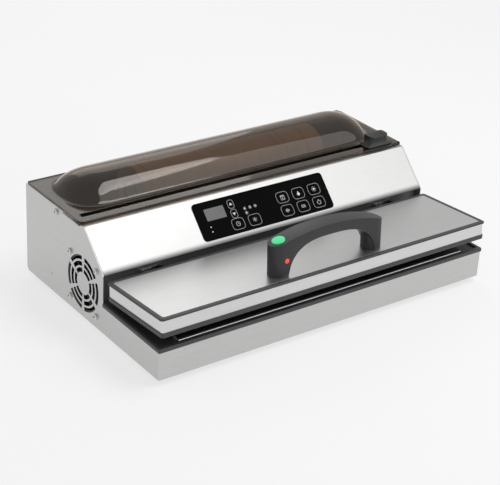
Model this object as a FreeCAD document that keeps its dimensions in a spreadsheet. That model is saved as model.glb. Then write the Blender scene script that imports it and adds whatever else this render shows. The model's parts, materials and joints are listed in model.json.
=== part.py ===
"""Vacuum sealer: steel case, hinged sealing lid, sloped controls, roll compartment with a cutter.

Frame: X to the right seen from the front, Y to the back, Z up, origin on the ground
under the middle. Millimetres and degrees. The lid stands ajar, as it does when nobody presses it.
"""
import FreeCAD, Part
import Sketcher
import math
import os
import re

# Driving dimensions; those that start with an equals sign follow from others
SIZES = {
    # steel case
    "case_width": 490, "case_depth": 306, "case_height": 119.5, "base_height": 35.5, "top_depth": 141,
    "slope_run": 44, "slope_drop": 44.3, "sheet": 1.2, "rear_corner": 6, "front_corner": 2,
    "fit": 0.2, "overrun": 1, "strip_depth": 7, "recess_depth": 9.5, "wall_flange": 12,
    # feet
    "foot_height": 8, "foot_radius": 11, "foot_taper": 1.5, "foot_inset": 32, "foot_recess": 4,
    # screws
    "screw_radius": 1.9, "screw_hole": 2.2, "head_radius": 3.8, "head_height": 2.8, "screw_length": 8,
    # fan and its grille
    "fan_setback": 2, "fan_y": "=case_depth / 2 - top_depth + fan_setback", "fan_rise": 44.8,
    "fan_size": 70, "fan_depth": 15, "fan_pitch": 60, "fan_bore": 33.5, "fan_hub": 15, "fan_web": 2.5,
    "fan_shaft": 2, "fan_strut": 3, "blade_reach": 32, "blade_thick": 1.4, "blade_chord": 12,
    "blade_twist": 38, "rotor_depth": 9.5, "fan_corner": 4, "rotor_round": 2, "rotor_wall": 1.5,
    "axle_gap": 2, "blade_root": 2, "root_depth": 3, "blade_count": 7, "slot_first": 17,
    "slot_step": 8, "slot_width": 5.4, "slot_angle": 50, "running_fit": 0.05,
    # control panel on the slope
    "panel_width": 200, "panel_depth": 49.4, "panel_drop": 6.3, "panel_thick": 0.8, "panel_corner": 5,
    "cutout_margin": 7, "window_left": -86, "window_right": -57, "window_top": 15.8,
    "window_bottom": 31.8, "board_gap": 6, "board_thick": 1.6, "board_margin": 11, "post_radius": 2.5,
    "post_pitch": 16, "chip_pitch": 34, "chip_size": 14, "chip_thick": 2.4, "post_room": 20,
    # chamber tray and sealing bar
    "tray_lip": 4.6, "tray_overhang": 0.8, "rim_width": 5, "deck_rise": 2, "deck_thick": 6,
    "rim_round": 1.6, "channel_margin": 40, "channel_half": "=case_width / 2 - channel_margin",
    "well_shift": 3.5, "well_y": "=well_shift - (top_depth + slope_run) / 2", "channel_span": 30,
    "channel_front": "=well_y - channel_span / 2", "channel_back": "=well_y + channel_span / 2",
    "channel_depth": 16, "tray_wall": 2.5, "gasket_margin": 23,
    "gasket_half": "=case_width / 2 - gasket_margin", "gasket_depth": 58,
    "gasket_front": "=well_y - gasket_depth / 2", "gasket_back": "=well_y + gasket_depth / 2",
    "gasket_width": 10, "gasket_corner": 16, "gasket_seat": 3, "gasket_stand": 3, "soft_gap": 0.3,
    "bar_margin": 30, "bar_half": "=case_width / 2 - bar_margin", "bar_setback": 13,
    "bar_y": "=bar_setback - case_depth / 2", "bar_width": 13, "bar_seat": 4, "bar_stand": 3,
    "band_width": 5, "band_thick": 0.4, "strip_thick": 0.3, "bar_edge": 1.5, "strip_margin": 3,
    # lid, drawn closed and then set ajar
    "lid_gap": 6.4, "lid_height": 23.9, "lid_overhang": 2.4, "lid_rear_gap": 7.2,
    "lid_depth": "=case_depth - top_depth - slope_run + lid_overhang - lid_rear_gap",
    "lid_inset": 0.7, "lid_corner": 4, "corner_step": 1, "lid_ajar": 3.8, "frame_lip": 2.4,
    "frame_border": 5, "frame_ledge": 6, "frame_round": 1, "lid_sheet": 1, "plate_gap": 0.3,
    "band_inset": 1.3, "lid_rim": 5.9, "rim_inset": 0.4, "shell_wall": 3, "shell_floor": 8,
    "strip_seat": 4, "press_width": 12,
    # lid hinge
    "hinge_back": 7.3, "hinge_drop": 10.4, "hinge_margin": 65,
    "hinge_x": "=case_width / 2 - hinge_margin", "pin_radius": 3, "eye_radius": 6, "arm_width": 16,
    "cheek_thick": 3, "spring_room": 10, "spring_wire": 1.2, "spring_turns": 4, "spring_radius": 4,
    "spring_pitch": 1.8, "spring_gap": 1.2, "side_gap": 0.4,
    # handle
    "handle_setback": 12, "handle_depth": 25, "post_x": 68, "handle_crown": 51, "handle_end": 38.5,
    "arch_height": 38.2, "arch_shoulder": 45, "arch_shoulder_height": 35.6, "arch_round": 14,
    "handle_round": 2.4, "button_radius": 9.2, "button_gap": 0.35, "button_height": 5,
    "button_stand": 1.2, "button_travel": 1.5, "button_well": 8, "button_round": 1.2,
    "well_clear": 12, "stem_radius": 2.5, "switch_size": 9, "switch_height": 6, "tip_height": 1.5,
    "lamp_x": -64, "lamp_height": 19.6, "lamp_radius": 2.5, "lamp_length": 9, "lamp_stand": 0.8,
    "pilot_depth": 11,
    # roll cover
    "film_gap": 0.3, "cover_sheet": 2.8, "cover_overhang": 0.4,
    "cover_half": "=case_width / 2 + cover_overhang", "cover_setback": 6.9,
    "cover_front": "=case_depth / 2 - top_depth + cover_setback", "cover_corner": 6, "axis_inset": 4,
    "cover_axis_y": "=case_depth / 2 - axis_inset", "bead_radius": 2.6, "flange_gap": 1,
    "rod_radius": 1.3, "end_gap": 1, "knuckle_margin": 80,
    "knuckle_x": "=case_width / 2 - knuckle_margin", "knuckle_length": 30, "knuckle_gap": 1.2,
    "dome_margin": 17, "dome_half": "=case_width / 2 - dome_margin", "dome_inset": 59,
    "dome_y": "=case_depth / 2 - dome_inset", "dome_depth": 92, "dome_height": 26, "dome_wall": 2.4,
    "dome_end": 46, "dome_root": 0.5, "slot_setback": 23,
    "slot_y": "=case_depth / 2 - top_depth + slot_setback", "slot_gap": 8, "slot_margin": 9,
    "slot_half": "=case_width / 2 - slot_margin",
    # cutter
    "rail_width": 15, "rail_height": 6, "rail_wall": 1.8, "rail_slit": 2.4, "knob_margin": 32,
    "knob_x": "=case_width / 2 - knob_margin", "knob_length": 31, "knob_width": 18, "knob_forward": 3,
    "knob_y": "=slot_y - knob_forward", "knob_height": 11.5, "knob_saddle": 70, "knob_dip": 2,
    "knob_round": 3, "slide_length": 44, "slide_forward": 15,
    "slide_front": "=slot_y - slide_forward", "slide_behind": 6,
    "slide_back": "=slot_y + slide_behind", "slide_thick": 1.5, "slide_gap": 0.3, "blade_length": 16,
    "blade_drop": 2.6, "blade_sheet": 0.6, "shoe_extra": 10,
    # roll and trough
    "roll_radius": 35, "roll_rise": 104, "roll_left": -131, "roll_right": 149, "core_radius": 16,
    "core_wall": 2.5, "trough_radius": 40, "trough_margin": 9,
    "trough_half": "=case_width / 2 - trough_margin", "trough_wall": 2.5, "groove_width": 18,
    "groove_depth": 9, "groove_gap": 1, "boss_inset": 76.3, "boss_y": "=case_depth / 2 - boss_inset",
    "boss_rise": 112.7, "boss_radius": 5,
    # pump, motor and hose
    "pump_x": 95, "pump_inset": 65, "pump_y": "=case_depth / 2 - pump_inset", "pump_rise": 36,
    "pump_length": 46, "pump_depth": 44, "pump_height": 50, "head_disc": 23, "head_thick": 13,
    "motor_radius": 26, "motor_length": 90, "motor_cap": 8, "mount_radius": 6, "mount_height": 8,
    "pump_round": 4, "pump_foot": 2, "passage": 3, "mount_rear": 10, "mount_front": 8,
    "mount_side": 7, "hose_radius": 5, "hose_bore": 3, "hose_room": 1, "wire_room": 3,
    "barb_radius": 2.9, "barb_length": 12, "barb_wall": 1, "port_y": "=well_y", "hose_bend": 22,
    "elbow_radius": 5.5, "elbow_drop": 10, "elbow_collar": 2,
    # transformer, valve and power board
    "core_margin": 50, "core_x": "=case_width / 2 - core_margin", "core_inset": 65,
    "core_y": "=case_depth / 2 - core_inset", "core_length": 66, "core_depth": 40, "core_height": 55,
    "core_leg": 11, "coil_wall": 9, "coil_round": 5, "valve_margin": 80,
    "valve_x": "=valve_margin - case_width / 2", "valve_inset": 57,
    "valve_y": "=case_depth / 2 - valve_inset", "valve_length": 34, "valve_depth": 22,
    "valve_height": 26, "valve_nozzle": 3, "power_left": -160, "power_right": -40, "power_inset": 155,
    "power_front": "=case_depth / 2 - power_inset", "power_depth": 50,
    "power_back": "=power_front + power_depth", "power_stand": 6,
    # power inlet
    "inlet_margin": 75, "inlet_x": "=inlet_margin - case_width / 2", "inlet_rise": 34,
    "inlet_width": 27, "inlet_height": 19.5, "inlet_depth": 22, "inlet_wall": 1.8, "inlet_floor": 4,
    "flange_width": 50, "flange_height": 23, "flange_thick": 2.3, "inlet_pitch": 40, "vent_x": 120,
    "vent_rise": 40, "vent_count": 9, "vent_step": 10, "vent_width": 4, "vent_height": 40,
}

doc = FreeCAD.newDocument("vacuum_sealer")
sheet = doc.addObject("Spreadsheet::Sheet", "Sizes")
for row, (size_name, size) in enumerate(SIZES.items(), 1):
    sheet.set(f"A{row}", size_name)
    sheet.set(f"B{row}", str(size))
    sheet.setAlias(f"B{row}", size_name)
doc.recompute()

# Levels shared by many pieces
FLOOR = "foot_height"
BASE_TOP = "(foot_height + base_height)"
CASE_TOP = "(foot_height + case_height)"
SIDE = "(case_width / 2)"
INSIDE = "(case_width / 2 - sheet)"
REAR = "(case_depth / 2)"
FRONT = "(-case_depth / 2)"
SLOPE_TOP_Y = "(case_depth / 2 - top_depth)"
SLOPE_FOOT_Y = "(case_depth / 2 - top_depth - slope_run)"
SLOPE_FOOT_Z = "(foot_height + case_height - slope_drop)"
WALL_Y = f"({SLOPE_FOOT_Y} + recess_depth)"
LINING = "(foot_height + sheet)"
RIM_TOP = f"({BASE_TOP} + tray_lip)"
DECK_TOP = f"({BASE_TOP} + deck_rise)"
BAR_TOP = f"({DECK_TOP} + bar_stand)"
LID_BOTTOM = f"({RIM_TOP} + lid_gap)"
LID_TOP = f"({LID_BOTTOM} + lid_height)"
LID_FRONT = f"({FRONT} - lid_overhang)"
LID_BACK = f"({LID_FRONT} + lid_depth)"
LID_SIDE = "(case_width / 2 - lid_inset)"
HINGE_Y = f"({LID_BACK} + hinge_back)"
HINGE_Z = f"({LID_TOP} - hinge_drop)"
HANDLE_Y = f"({LID_FRONT} + handle_setback + handle_depth / 2)"
COVER_BOTTOM = f"({CASE_TOP} + film_gap)"
COVER_TOP = f"({COVER_BOTTOM} + cover_sheet)"
COVER_AXIS_Z = f"({COVER_TOP} - bead_radius)"
ROLL_Z = "(foot_height + roll_rise)"
TROUGH_Z = f"({ROLL_Z} - roll_radius - soft_gap + trough_radius)"
FAN_Z = "(foot_height + fan_rise)"
SLOPE_ANGLE = "atan(slope_drop / slope_run)"
SLOPE_LENGTH = "sqrt(slope_run * slope_run + slope_drop * slope_drop)"
X_AXIS, Y_AXIS, Z_AXIS = (1, 0, 0), (0, 1, 0), (0, 0, 1)

nodes = {}


def tied(text):
    """The text as an expression in which each size's name points at its cell."""
    return re.sub(r"[a-z]\w*", lambda m: f"Sizes.{m[0]}" if m[0] in SIZES else m[0], text)


def value(text):
    return float(sheet.evalExpression(tied(text)))


def bind(thing, path, text):
    thing.setExpression(path, tied(text))


def place(thing, x="0", y="0", z="0", axis=None, angle="0"):
    """Puts a thing at a point, turned about an axis through its own origin."""
    for letter, text in zip("xyz", (x, y, z)):
        bind(thing, f"Placement.Base.{letter}", text)
    if axis:
        for letter, part in zip("xyz", axis):
            bind(thing, f"Placement.Rotation.Axis.{letter}", str(part))
        bind(thing, "Placement.Rotation.Angle", angle)
    return thing


def node(name, thing):
    """Names a finished piece."""
    thing.Label = name
    nodes[name] = thing
    return thing


def span(low, high):
    return f"({high}) - ({low})"


def about(centre, width):
    """The two ends of a width about a centre."""
    return f"({centre}) - ({width}) / 2", f"({centre}) + ({width}) / 2"


def block(name, x, y, z):
    thing = doc.addObject("Part::Box", name)
    for path, ends in zip(("Length", "Width", "Height"), (x, y, z)):
        bind(thing, path, span(*ends))
    return place(thing, x[0], y[0], z[0])


def rod(name, axis, radius, centre, ends):
    """A cylinder along X, Y or Z; centre holds the two other coordinates in order."""
    thing = doc.addObject("Part::Cylinder", name)
    bind(thing, "Radius", radius)
    bind(thing, "Height", span(*ends))
    first, second = centre
    if axis == "X":
        return place(thing, ends[0], first, second, Y_AXIS, "90")
    if axis == "Y":
        return place(thing, first, ends[0], second, X_AXIS, "-90")
    return place(thing, first, second, ends[0])


def cut(name, base, *tools):
    thing = doc.addObject("Part::Cut", name)
    thing.Base = base
    thing.Tool = tools[0] if len(tools) == 1 else fuse(name + "_tools", *tools)
    return thing


def fuse(name, *things):
    thing = doc.addObject("Part::MultiFuse", name)
    thing.Shapes = list(things)
    return thing


def common(name, first, second):
    thing = doc.addObject("Part::Common", name)
    thing.Base = first
    thing.Tool = second
    return thing


def group(name, things):
    """Like solids that stay apart, as one named piece."""
    thing = doc.addObject("Part::Compound", name)
    thing.Links = list(things)
    return node(name, thing)


def rounded(name, base, radius, chosen):
    """Rounds the edges that the test picks."""
    doc.recompute()
    thing = doc.addObject("Part::Fillet", name)
    thing.Base = base
    size = value(radius)
    thing.Edges = [(i, size, size) for i, edge in enumerate(base.Shape.Edges, 1) if chosen(edge)]
    return thing


def runs_along(edge, axis):
    """True for a straight edge along the axis."""
    if not isinstance(edge.Curve, Part.Line):
        return False
    return abs(edge.Curve.Direction.dot(FreeCAD.Vector(*axis))) > 0.999


def middle(edge):
    return edge.valueAt((edge.FirstParameter + edge.LastParameter) / 2)


# Sketches
PLANES = {
    "XY": (FreeCAD.Rotation(), Z_AXIS),
    "XZ": (FreeCAD.Rotation(FreeCAD.Vector(1, 0, 0), 90), Y_AXIS),
    "YZ": (FreeCAD.Rotation(FreeCAD.Vector(1, 1, 1), 120), X_AXIS),
}


def pin(sk, geometry, corner, x, y):
    """Ties a point of a sketch to its two coordinates."""
    for kind, text in (("DistanceX", x), ("DistanceY", y)):
        at = sk.addConstraint(Sketcher.Constraint(kind, -1, 1, geometry, corner, value(text)))
        bind(sk, f"Constraints[{at}]", text)


def tie_radius(sk, geometry, text):
    at = sk.addConstraint(Sketcher.Constraint("Radius", geometry, value(text)))
    bind(sk, f"Constraints[{at}]", text)


def point(x, y):
    return FreeCAD.Vector(value(x), value(y), 0)


def polygon(sk, corners):
    """A closed outline of straight lines through the corners."""
    first = sk.GeometryCount
    count = len(corners)
    for i in range(count):
        sk.addGeometry(Part.LineSegment(point(*corners[i]), point(*corners[(i + 1) % count])))
    for i in range(count):
        sk.addConstraint(Sketcher.Constraint("Coincident", first + i, 2, first + (i + 1) % count, 1))
        pin(sk, first + i, 1, *corners[i])


def circle(sk, x, y, radius):
    at = sk.addGeometry(Part.Circle(point(x, y), FreeCAD.Vector(0, 0, 1), value(radius)))
    pin(sk, at, 3, x, y)
    tie_radius(sk, at, radius)


def rounded_box(sk, x, y, radius):
    """A rectangle with four round corners."""
    (left, right), (low, high) = x, y
    quarter = math.pi / 2
    first = sk.GeometryCount
    turns = ((right, "-", high, "-"), (left, "+", high, "-"), (left, "+", low, "+"), (right, "-", low, "+"))
    for i, (px, sx, py, sy) in enumerate(turns):
        cx, cy = f"({px}) {sx} ({radius})", f"({py}) {sy} ({radius})"
        ring = Part.Circle(point(cx, cy), FreeCAD.Vector(0, 0, 1), value(radius))
        sk.addGeometry(Part.ArcOfCircle(ring, i * quarter, (i + 1) * quarter))
        pin(sk, first + i, 3, cx, cy)
        tie_radius(sk, first + i, radius)
        starts_level = i % 2 == 0
        sk.addConstraint(Sketcher.Constraint("Horizontal" if starts_level else "Vertical", first + i, 1,
                                             first + i, 3))
        sk.addConstraint(Sketcher.Constraint("Vertical" if starts_level else "Horizontal", first + i, 2,
                                             first + i, 3))
    for i in range(4):
        after = (i + 1) % 4
        start = sk.getPoint(first + i, 2)
        side = sk.addGeometry(Part.LineSegment(start, sk.getPoint(first + after, 1)))
        sk.addConstraint(Sketcher.Constraint("Coincident", side, 1, first + i, 2))
        sk.addConstraint(Sketcher.Constraint("Coincident", side, 2, first + after, 1))


def prism(name, plane, draw, ends):
    """A sketch drawn on a plane and extruded between two levels of that plane's axis."""
    turn, axis = PLANES[plane]
    sk = doc.addObject("Sketcher::SketchObject", name + "_outline")
    sk.Placement = FreeCAD.Placement(FreeCAD.Vector(), turn)
    bind(sk, "Placement.Base." + "xyz"[axis.index(1)], ends[0])
    draw(sk)
    thing = doc.addObject("Part::Extrusion", name)
    thing.Base = sk
    thing.DirMode = "Custom"
    thing.Dir = FreeCAD.Vector(*axis)
    thing.Solid = True
    bind(thing, "LengthFwd", span(*ends))
    return thing


# Features of a body
def new_body(name):
    return doc.addObject("PartDesign::Body", name + "_body")


def body_sketch(body, name, plane, level, draw):
    sk = body.newObject("Sketcher::SketchObject", name + "_outline")
    origin = next(f for f in body.Origin.OriginFeatures if f.Role == plane + "_Plane")
    sk.AttachmentSupport = [(origin, "")]
    sk.MapMode = "FlatFace"
    bind(sk, "AttachmentOffset.Base.z", level)
    draw(sk)
    return sk


def pad(body, name, plane, draw, ends):
    """Adds an outline between two levels; an XZ sketch faces the front, so it starts at the back."""
    level = f"-({ends[1]})" if plane == "XZ" else ends[0]
    thing = body.newObject("PartDesign::Pad", name)
    thing.Profile = body_sketch(body, name, plane, level, draw)
    bind(thing, "Length", span(*ends))
    return thing


def pocket(body, name, plane, draw, ends):
    """Removes an outline between two levels."""
    level = f"-({ends[0]})" if plane == "XZ" else ends[1]
    thing = body.newObject("PartDesign::Pocket", name)
    thing.Profile = body_sketch(body, name, plane, level, draw)
    bind(thing, "Length", span(*ends))
    return thing


def soften(body, name, radius, chosen):
    """Rounds the edges of the body so far that the test picks."""
    doc.recompute()
    base = body.Tip
    picked = [f"Edge{i}" for i, edge in enumerate(base.Shape.Edges, 1) if chosen(edge)]
    thing = body.newObject("PartDesign::Fillet", name)
    thing.Base = (base, picked)
    bind(thing, "Radius", radius)
    return thing


def both_sides(half):
    return f"-({half})", half


# Pieces
def case_profile(sk):
    """The side of the case with its rounded lower back corner."""
    polygon(sk, [(FRONT, FLOOR), (REAR, FLOOR), (REAR, CASE_TOP), (SLOPE_TOP_Y, CASE_TOP),
                 (SLOPE_FOOT_Y, SLOPE_FOOT_Z), (SLOPE_FOOT_Y, BASE_TOP), (FRONT, BASE_TOP)])


def main_case():
    """Bottom, front and both sides, bent from one sheet, with the fan grille in the left side."""
    body = new_body("main_case")
    pad(body, "case_outside", "YZ", case_profile, both_sides(SIDE))
    soften(body, "case_back_corner", "rear_corner",
           lambda e: runs_along(e, X_AXIS) and middle(e).y > 0 and middle(e).z < value(BASE_TOP))
    soften(body, "case_front_corners", "front_corner",
           lambda e: runs_along(e, Z_AXIS) and middle(e).y < value(FRONT) + 1)
    above = f"({CASE_TOP} + sheet)"
    behind = f"({REAR} + sheet)"
    below = f"({FLOOR} - sheet)"
    bend = f"({REAR} - rear_corner)"
    front = f"({FRONT} + sheet)"
    pocket(body, "case_inside", "YZ", lambda sk: polygon(sk, [
        (front, LINING), (bend, LINING), (bend, below), (behind, below), (behind, above), (front, above)]),
        both_sides(INSIDE))
    left = (f"-{SIDE} - sheet", f"-{SIDE} + 2 * sheet")
    screws = [(f"fan_y {a} fan_pitch / 2", f"{FAN_Z} {b} fan_pitch / 2") for a in "+-" for b in "+-"]
    pocket(body, "fan_screw_holes", "YZ", lambda sk: [circle(sk, *at, "screw_hole") for at in screws], left)
    pocket(body, "trough_screw_holes", "YZ",
           lambda sk: circle(sk, "boss_y", "foot_height + boss_rise", "screw_hole"),
           both_sides(f"{SIDE} + sheet"))
    pocket(body, "foot_screw_holes", "XY",
           lambda sk: [circle(sk, x, y, "screw_hole") for x, y in foot_places()],
           (below, f"{LINING} + sheet"))
    grille = pocket(body, "grille_slots", "YZ", grille_sector, left)
    sk = grille.Profile[0]
    bind(sk, "AttachmentOffset.Base.x", "fan_y")
    bind(sk, "AttachmentOffset.Base.y", FAN_Z)
    wheel = body.newObject("PartDesign::PolarPattern", "grille")
    wheel.Originals = [grille]
    wheel.Axis = (sk, ["N_Axis"])
    wheel.Angle = 360
    wheel.Occurrences = 6
    body.Tip = wheel
    node("main_case", body)


def grille_sector(sk):
    """Three curved slots, one outside the other, about the fan's axis."""
    for ring in range(3):
        middle_radius = f"(slot_first + {ring} * slot_step)"
        bow(sk, f"{middle_radius} - slot_width / 2", f"{middle_radius} + slot_width / 2", "slot_angle / 2")


def bow(sk, inner, outer, half_angle):
    """A slot between two arcs about the sketch's origin, closed by straight ends."""
    first = sk.GeometryCount
    reach = math.radians(value(half_angle))
    for i, radius in enumerate((inner, outer)):
        ring = Part.Circle(FreeCAD.Vector(), FreeCAD.Vector(0, 0, 1), value(radius))
        sk.addGeometry(Part.ArcOfCircle(ring, -reach, reach))
        sk.addConstraint(Sketcher.Constraint("Coincident", first + i, 3, -1, 1))
        tie_radius(sk, first + i, radius)
        for corner, sign in ((1, "-"), (2, "")):
            text = f"{sign}({radius}) * sin({half_angle} * 1 deg)"
            at = sk.addConstraint(Sketcher.Constraint("DistanceY", -1, 1, first + i, corner, value(text)))
            bind(sk, f"Constraints[{at}]", text)
    for corner in (1, 2):
        side = sk.addGeometry(Part.LineSegment(sk.getPoint(first, corner), sk.getPoint(first + 1, corner)))
        sk.addConstraint(Sketcher.Constraint("Coincident", side, 1, first, corner))
        sk.addConstraint(Sketcher.Constraint("Coincident", side, 2, first + 1, corner))


def foot_places():
    x = f"({SIDE} - foot_inset)"
    front, back = f"({FRONT} + foot_inset)", f"({REAR} - foot_inset)"
    return [(f"-{x}", front), (x, front), (f"-{x}", back), (x, back)]


def pan_screw(name, axis, centre, seat, sign, length="screw_length"):
    """A pan-head screw whose head sits on a face and whose shank runs on from it."""
    head = (seat, f"{seat} + head_height") if sign > 0 else (f"{seat} - head_height", seat)
    shank = (f"{seat} - {length}", seat) if sign > 0 else (seat, f"{seat} + {length}")
    cap = rounded(name + "_cap", rod(name + "_head", axis, "head_radius", centre, head),
                  "head_height * 0.6",
                  lambda e: at_level(e, axis, head[1] if sign > 0 else head[0]))
    return fuse(name, cap, rod(name + "_shank", axis, "screw_radius", centre, shank))


def at_level(edge, axis, level):
    """True for an edge that lies wholly in a level of the axis."""
    box = edge.BoundBox
    low, high = {"X": (box.XMin, box.XMax), "Y": (box.YMin, box.YMax), "Z": (box.ZMin, box.ZMax)}[axis]
    return abs(low - value(level)) < 1e-4 and abs(high - value(level)) < 1e-4


def feet():
    made, screws = [], []
    for i, (x, y) in enumerate(foot_places()):
        foot = doc.addObject("Part::Cone", f"foot_{i}")
        bind(foot, "Radius1", "foot_radius - foot_taper")
        bind(foot, "Radius2", "foot_radius")
        bind(foot, "Height", "foot_height")
        place(foot, x, y, "0")
        well = rod(f"foot_well_{i}", "Z", "head_radius + fit", (x, y), ("-overrun", "foot_recess"))
        bore = rod(f"foot_bore_{i}", "Z", "screw_radius + running_fit", (x, y),
                   ("0", "foot_height + overrun"))
        made.append(cut(f"foot_made_{i}", foot, well, bore))
        screws.append(pan_screw(f"foot_screw_{i}", "Z", (x, y), "foot_recess", -1, "(foot_height + sheet)"))
    group("feet", made)
    group("foot_screws", screws)


def rear_panel():
    """Upright sheet with a bent foot, cut out for the power inlet and the vents."""
    body = new_body("rear_panel")
    half = f"({INSIDE} - fit)"
    top = f"({COVER_AXIS_Z} - bead_radius - flange_gap)"
    outer, inner = f"({REAR} - rear_corner)", f"({REAR} - sheet)"

    def profile(sk):
        polygon(sk,
                [(outer, FLOOR), (REAR, FLOOR), (REAR, top), (inner, top), (inner, LINING),
                 (outer, LINING)])

    pad(body, "rear_sheet", "YZ", profile, both_sides(half))
    soften(body, "rear_inner_bend", "rear_corner - sheet - fit",
           lambda e: runs_along(e, X_AXIS) and abs(middle(e).z - value(LINING)) < 0.01
           and abs(middle(e).y - value(inner)) < 0.01)
    soften(body, "rear_outer_bend", "rear_corner - fit",
           lambda e: runs_along(e, X_AXIS) and abs(middle(e).z - value(FLOOR)) < 0.01
           and abs(middle(e).y - value(REAR)) < 0.01)
    through = (f"{inner} - sheet", f"{REAR} + sheet")
    rise = "(foot_height + inlet_rise)"
    pocket(body, "inlet_cutout", "XZ", lambda sk: polygon(sk, frame_corners(
        about("inlet_x", "inlet_width + 2 * fit"), about(rise, "inlet_height + 2 * fit"))), through)
    pocket(body, "inlet_screw_holes", "XZ", lambda sk: [
        circle(sk, f"inlet_x {s} inlet_pitch / 2", rise, "screw_hole") for s in "+-"], through)
    vent = pocket(body, "vent_slot", "XZ", lambda sk: rounded_box(
        sk, about("vent_x", "vent_width"), about("foot_height + vent_rise", "vent_height"),
        "vent_width / 2.1"),
        through)
    row = body.newObject("PartDesign::LinearPattern", "vents")
    row.Originals = [vent]
    row.Direction = (vent.Profile[0], ["H_Axis"])
    row.Mode = "Spacing"
    bind(row, "Offset", "vent_step")
    bind(row, "Occurrences", "vent_count")
    body.Tip = row
    node("rear_panel", body)


def frame_corners(x, y):
    (left, right), (low, high) = x, y
    return [(left, low), (right, low), (right, high), (left, high)]


def on_slope(thing):
    """Turns a piece drawn flat about the slope's middle so that it lies on the slope."""
    return place(thing, "0", f"({SLOPE_TOP_Y} + {SLOPE_FOOT_Y}) / 2", f"({CASE_TOP} + {SLOPE_FOOT_Z}) / 2",
                 X_AXIS, SLOPE_ANGLE)


def down_slope(distance):
    """Flat coordinate of a point that lies some way down from the slope's upper edge."""
    return f"({SLOPE_LENGTH} / 2 - ({distance}))"


def panel_extent():
    return both_sides("panel_width / 2"), (down_slope("panel_drop + panel_depth"), down_slope("panel_drop"))


def inset(extent, margin):
    return tuple((f"({low}) + ({margin})", f"({high}) - ({margin})") for low, high in extent)


def control_fascia():
    """Strip, slope and lower hem bent from one sheet, open behind the control panel."""
    hem_end = f"({WALL_Y} + sheet)"
    half_turn = f"tan({SLOPE_ANGLE} / 2)"
    strip_end = f"({SLOPE_TOP_Y} + strip_depth)"
    outline = [(strip_end, CASE_TOP), (SLOPE_TOP_Y, CASE_TOP), (SLOPE_FOOT_Y, SLOPE_FOOT_Z),
               (hem_end, SLOPE_FOOT_Z), (hem_end, f"{SLOPE_FOOT_Z} + sheet"),
               (f"{SLOPE_FOOT_Y} + sheet / {half_turn}", f"{SLOPE_FOOT_Z} + sheet"),
               (f"{SLOPE_TOP_Y} + sheet * {half_turn}", f"{CASE_TOP} - sheet"),
               (strip_end, f"{CASE_TOP} - sheet")]
    bent = prism("fascia_sheet", "YZ", lambda sk: polygon(sk, outline), both_sides(f"({INSIDE} - fit)"))
    hole = prism("fascia_opening", "XY", lambda sk: polygon(sk, frame_corners(
        *inset(panel_extent(), "cutout_margin"))), ("-3 * sheet", "2 * sheet"))
    node("control_fascia", cut("fascia", bent, on_slope(hole)))


def control_panel():
    """Overlay on the slope with its display window and the board behind it."""
    x, y = panel_extent()
    window = ("window_left", "window_right"), (down_slope("window_bottom"), down_slope("window_top"))
    overlay = prism("overlay", "XY", lambda sk: rounded_box(sk, x, y, "panel_corner"), ("0", "panel_thick"))
    hole = prism("overlay_window", "XY", lambda sk: polygon(sk, frame_corners(*window)),
                 ("-overrun", "panel_thick + overrun"))
    node("control_panel", on_slope(cut("overlay_cut", overlay, hole)))
    board_top = "-(sheet + board_gap)"
    pane = prism("pane", "XY", lambda sk: polygon(sk, frame_corners(*inset(window, "fit"))),
                 (board_top, "panel_thick"))
    node("display_window", on_slope(pane))
    bx, by = inset(panel_extent(), "board_margin")
    board = block("board", bx, by, (f"{board_top} - board_thick", board_top))
    chips = [block(f"chip_{i}", about(f"({i} - 0.5) * chip_pitch", "chip_size"), about("0", "chip_size"),
                   (f"{board_top} - board_thick - chip_thick",
                    f"{board_top} - board_thick"))
             for i in range(-1, 3)]
    node("control_board", on_slope(fuse("board_made", board, *chips)))
    px = inset(panel_extent(), "cutout_margin / 2")[0]
    py = about(down_slope("panel_drop + panel_depth / 2"), "post_pitch")
    posts = []
    for i, (cx, cy) in enumerate(frame_corners(px, py)):
        post = rod(f"post_{i}", "Z", "post_radius", (cx, cy), (f"{board_top} - board_thick", "-sheet"))
        lug = block(f"lug_{i}", about(cx, "2 * board_margin"), about(cy, "2 * post_radius"),
                    (f"{board_top} - board_thick", board_top))
        inner = cut(f"post_made_{i}", fuse(f"post_lug_{i}", post, lug),
                    block(f"post_clear_{i}", bx, by, (f"{board_top} - post_room", "0")))
        posts.append(on_slope(inner))
    group("board_posts", posts)


def hinge_wall():
    """Divider between the front box and the rear, with a foot and holes for hose and wires."""
    half = f"({INSIDE} - fit)"
    back = f"({WALL_Y} + sheet)"
    foot = f"({back} + wall_flange)"
    outline = [(WALL_Y, LINING), (foot, LINING), (foot, f"{LINING} + sheet"), (back, f"{LINING} + sheet"),
               (back, SLOPE_FOOT_Z), (WALL_Y, SLOPE_FOOT_Z)]
    wall = prism("divider", "YZ", lambda sk: polygon(sk, outline), both_sides(half))
    through = (f"{WALL_Y} - sheet", f"{back} + sheet")
    hose = rod("hose_hole", "Y", "hose_radius + hose_room", ("pump_x", HOSE_Z), through)
    wires = rod("wire_hole", "Y", "hose_radius + wire_room", ("power_left", HOSE_Z), through)
    node("hinge_wall", cut("divider_cut", wall, hose, wires))


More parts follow.
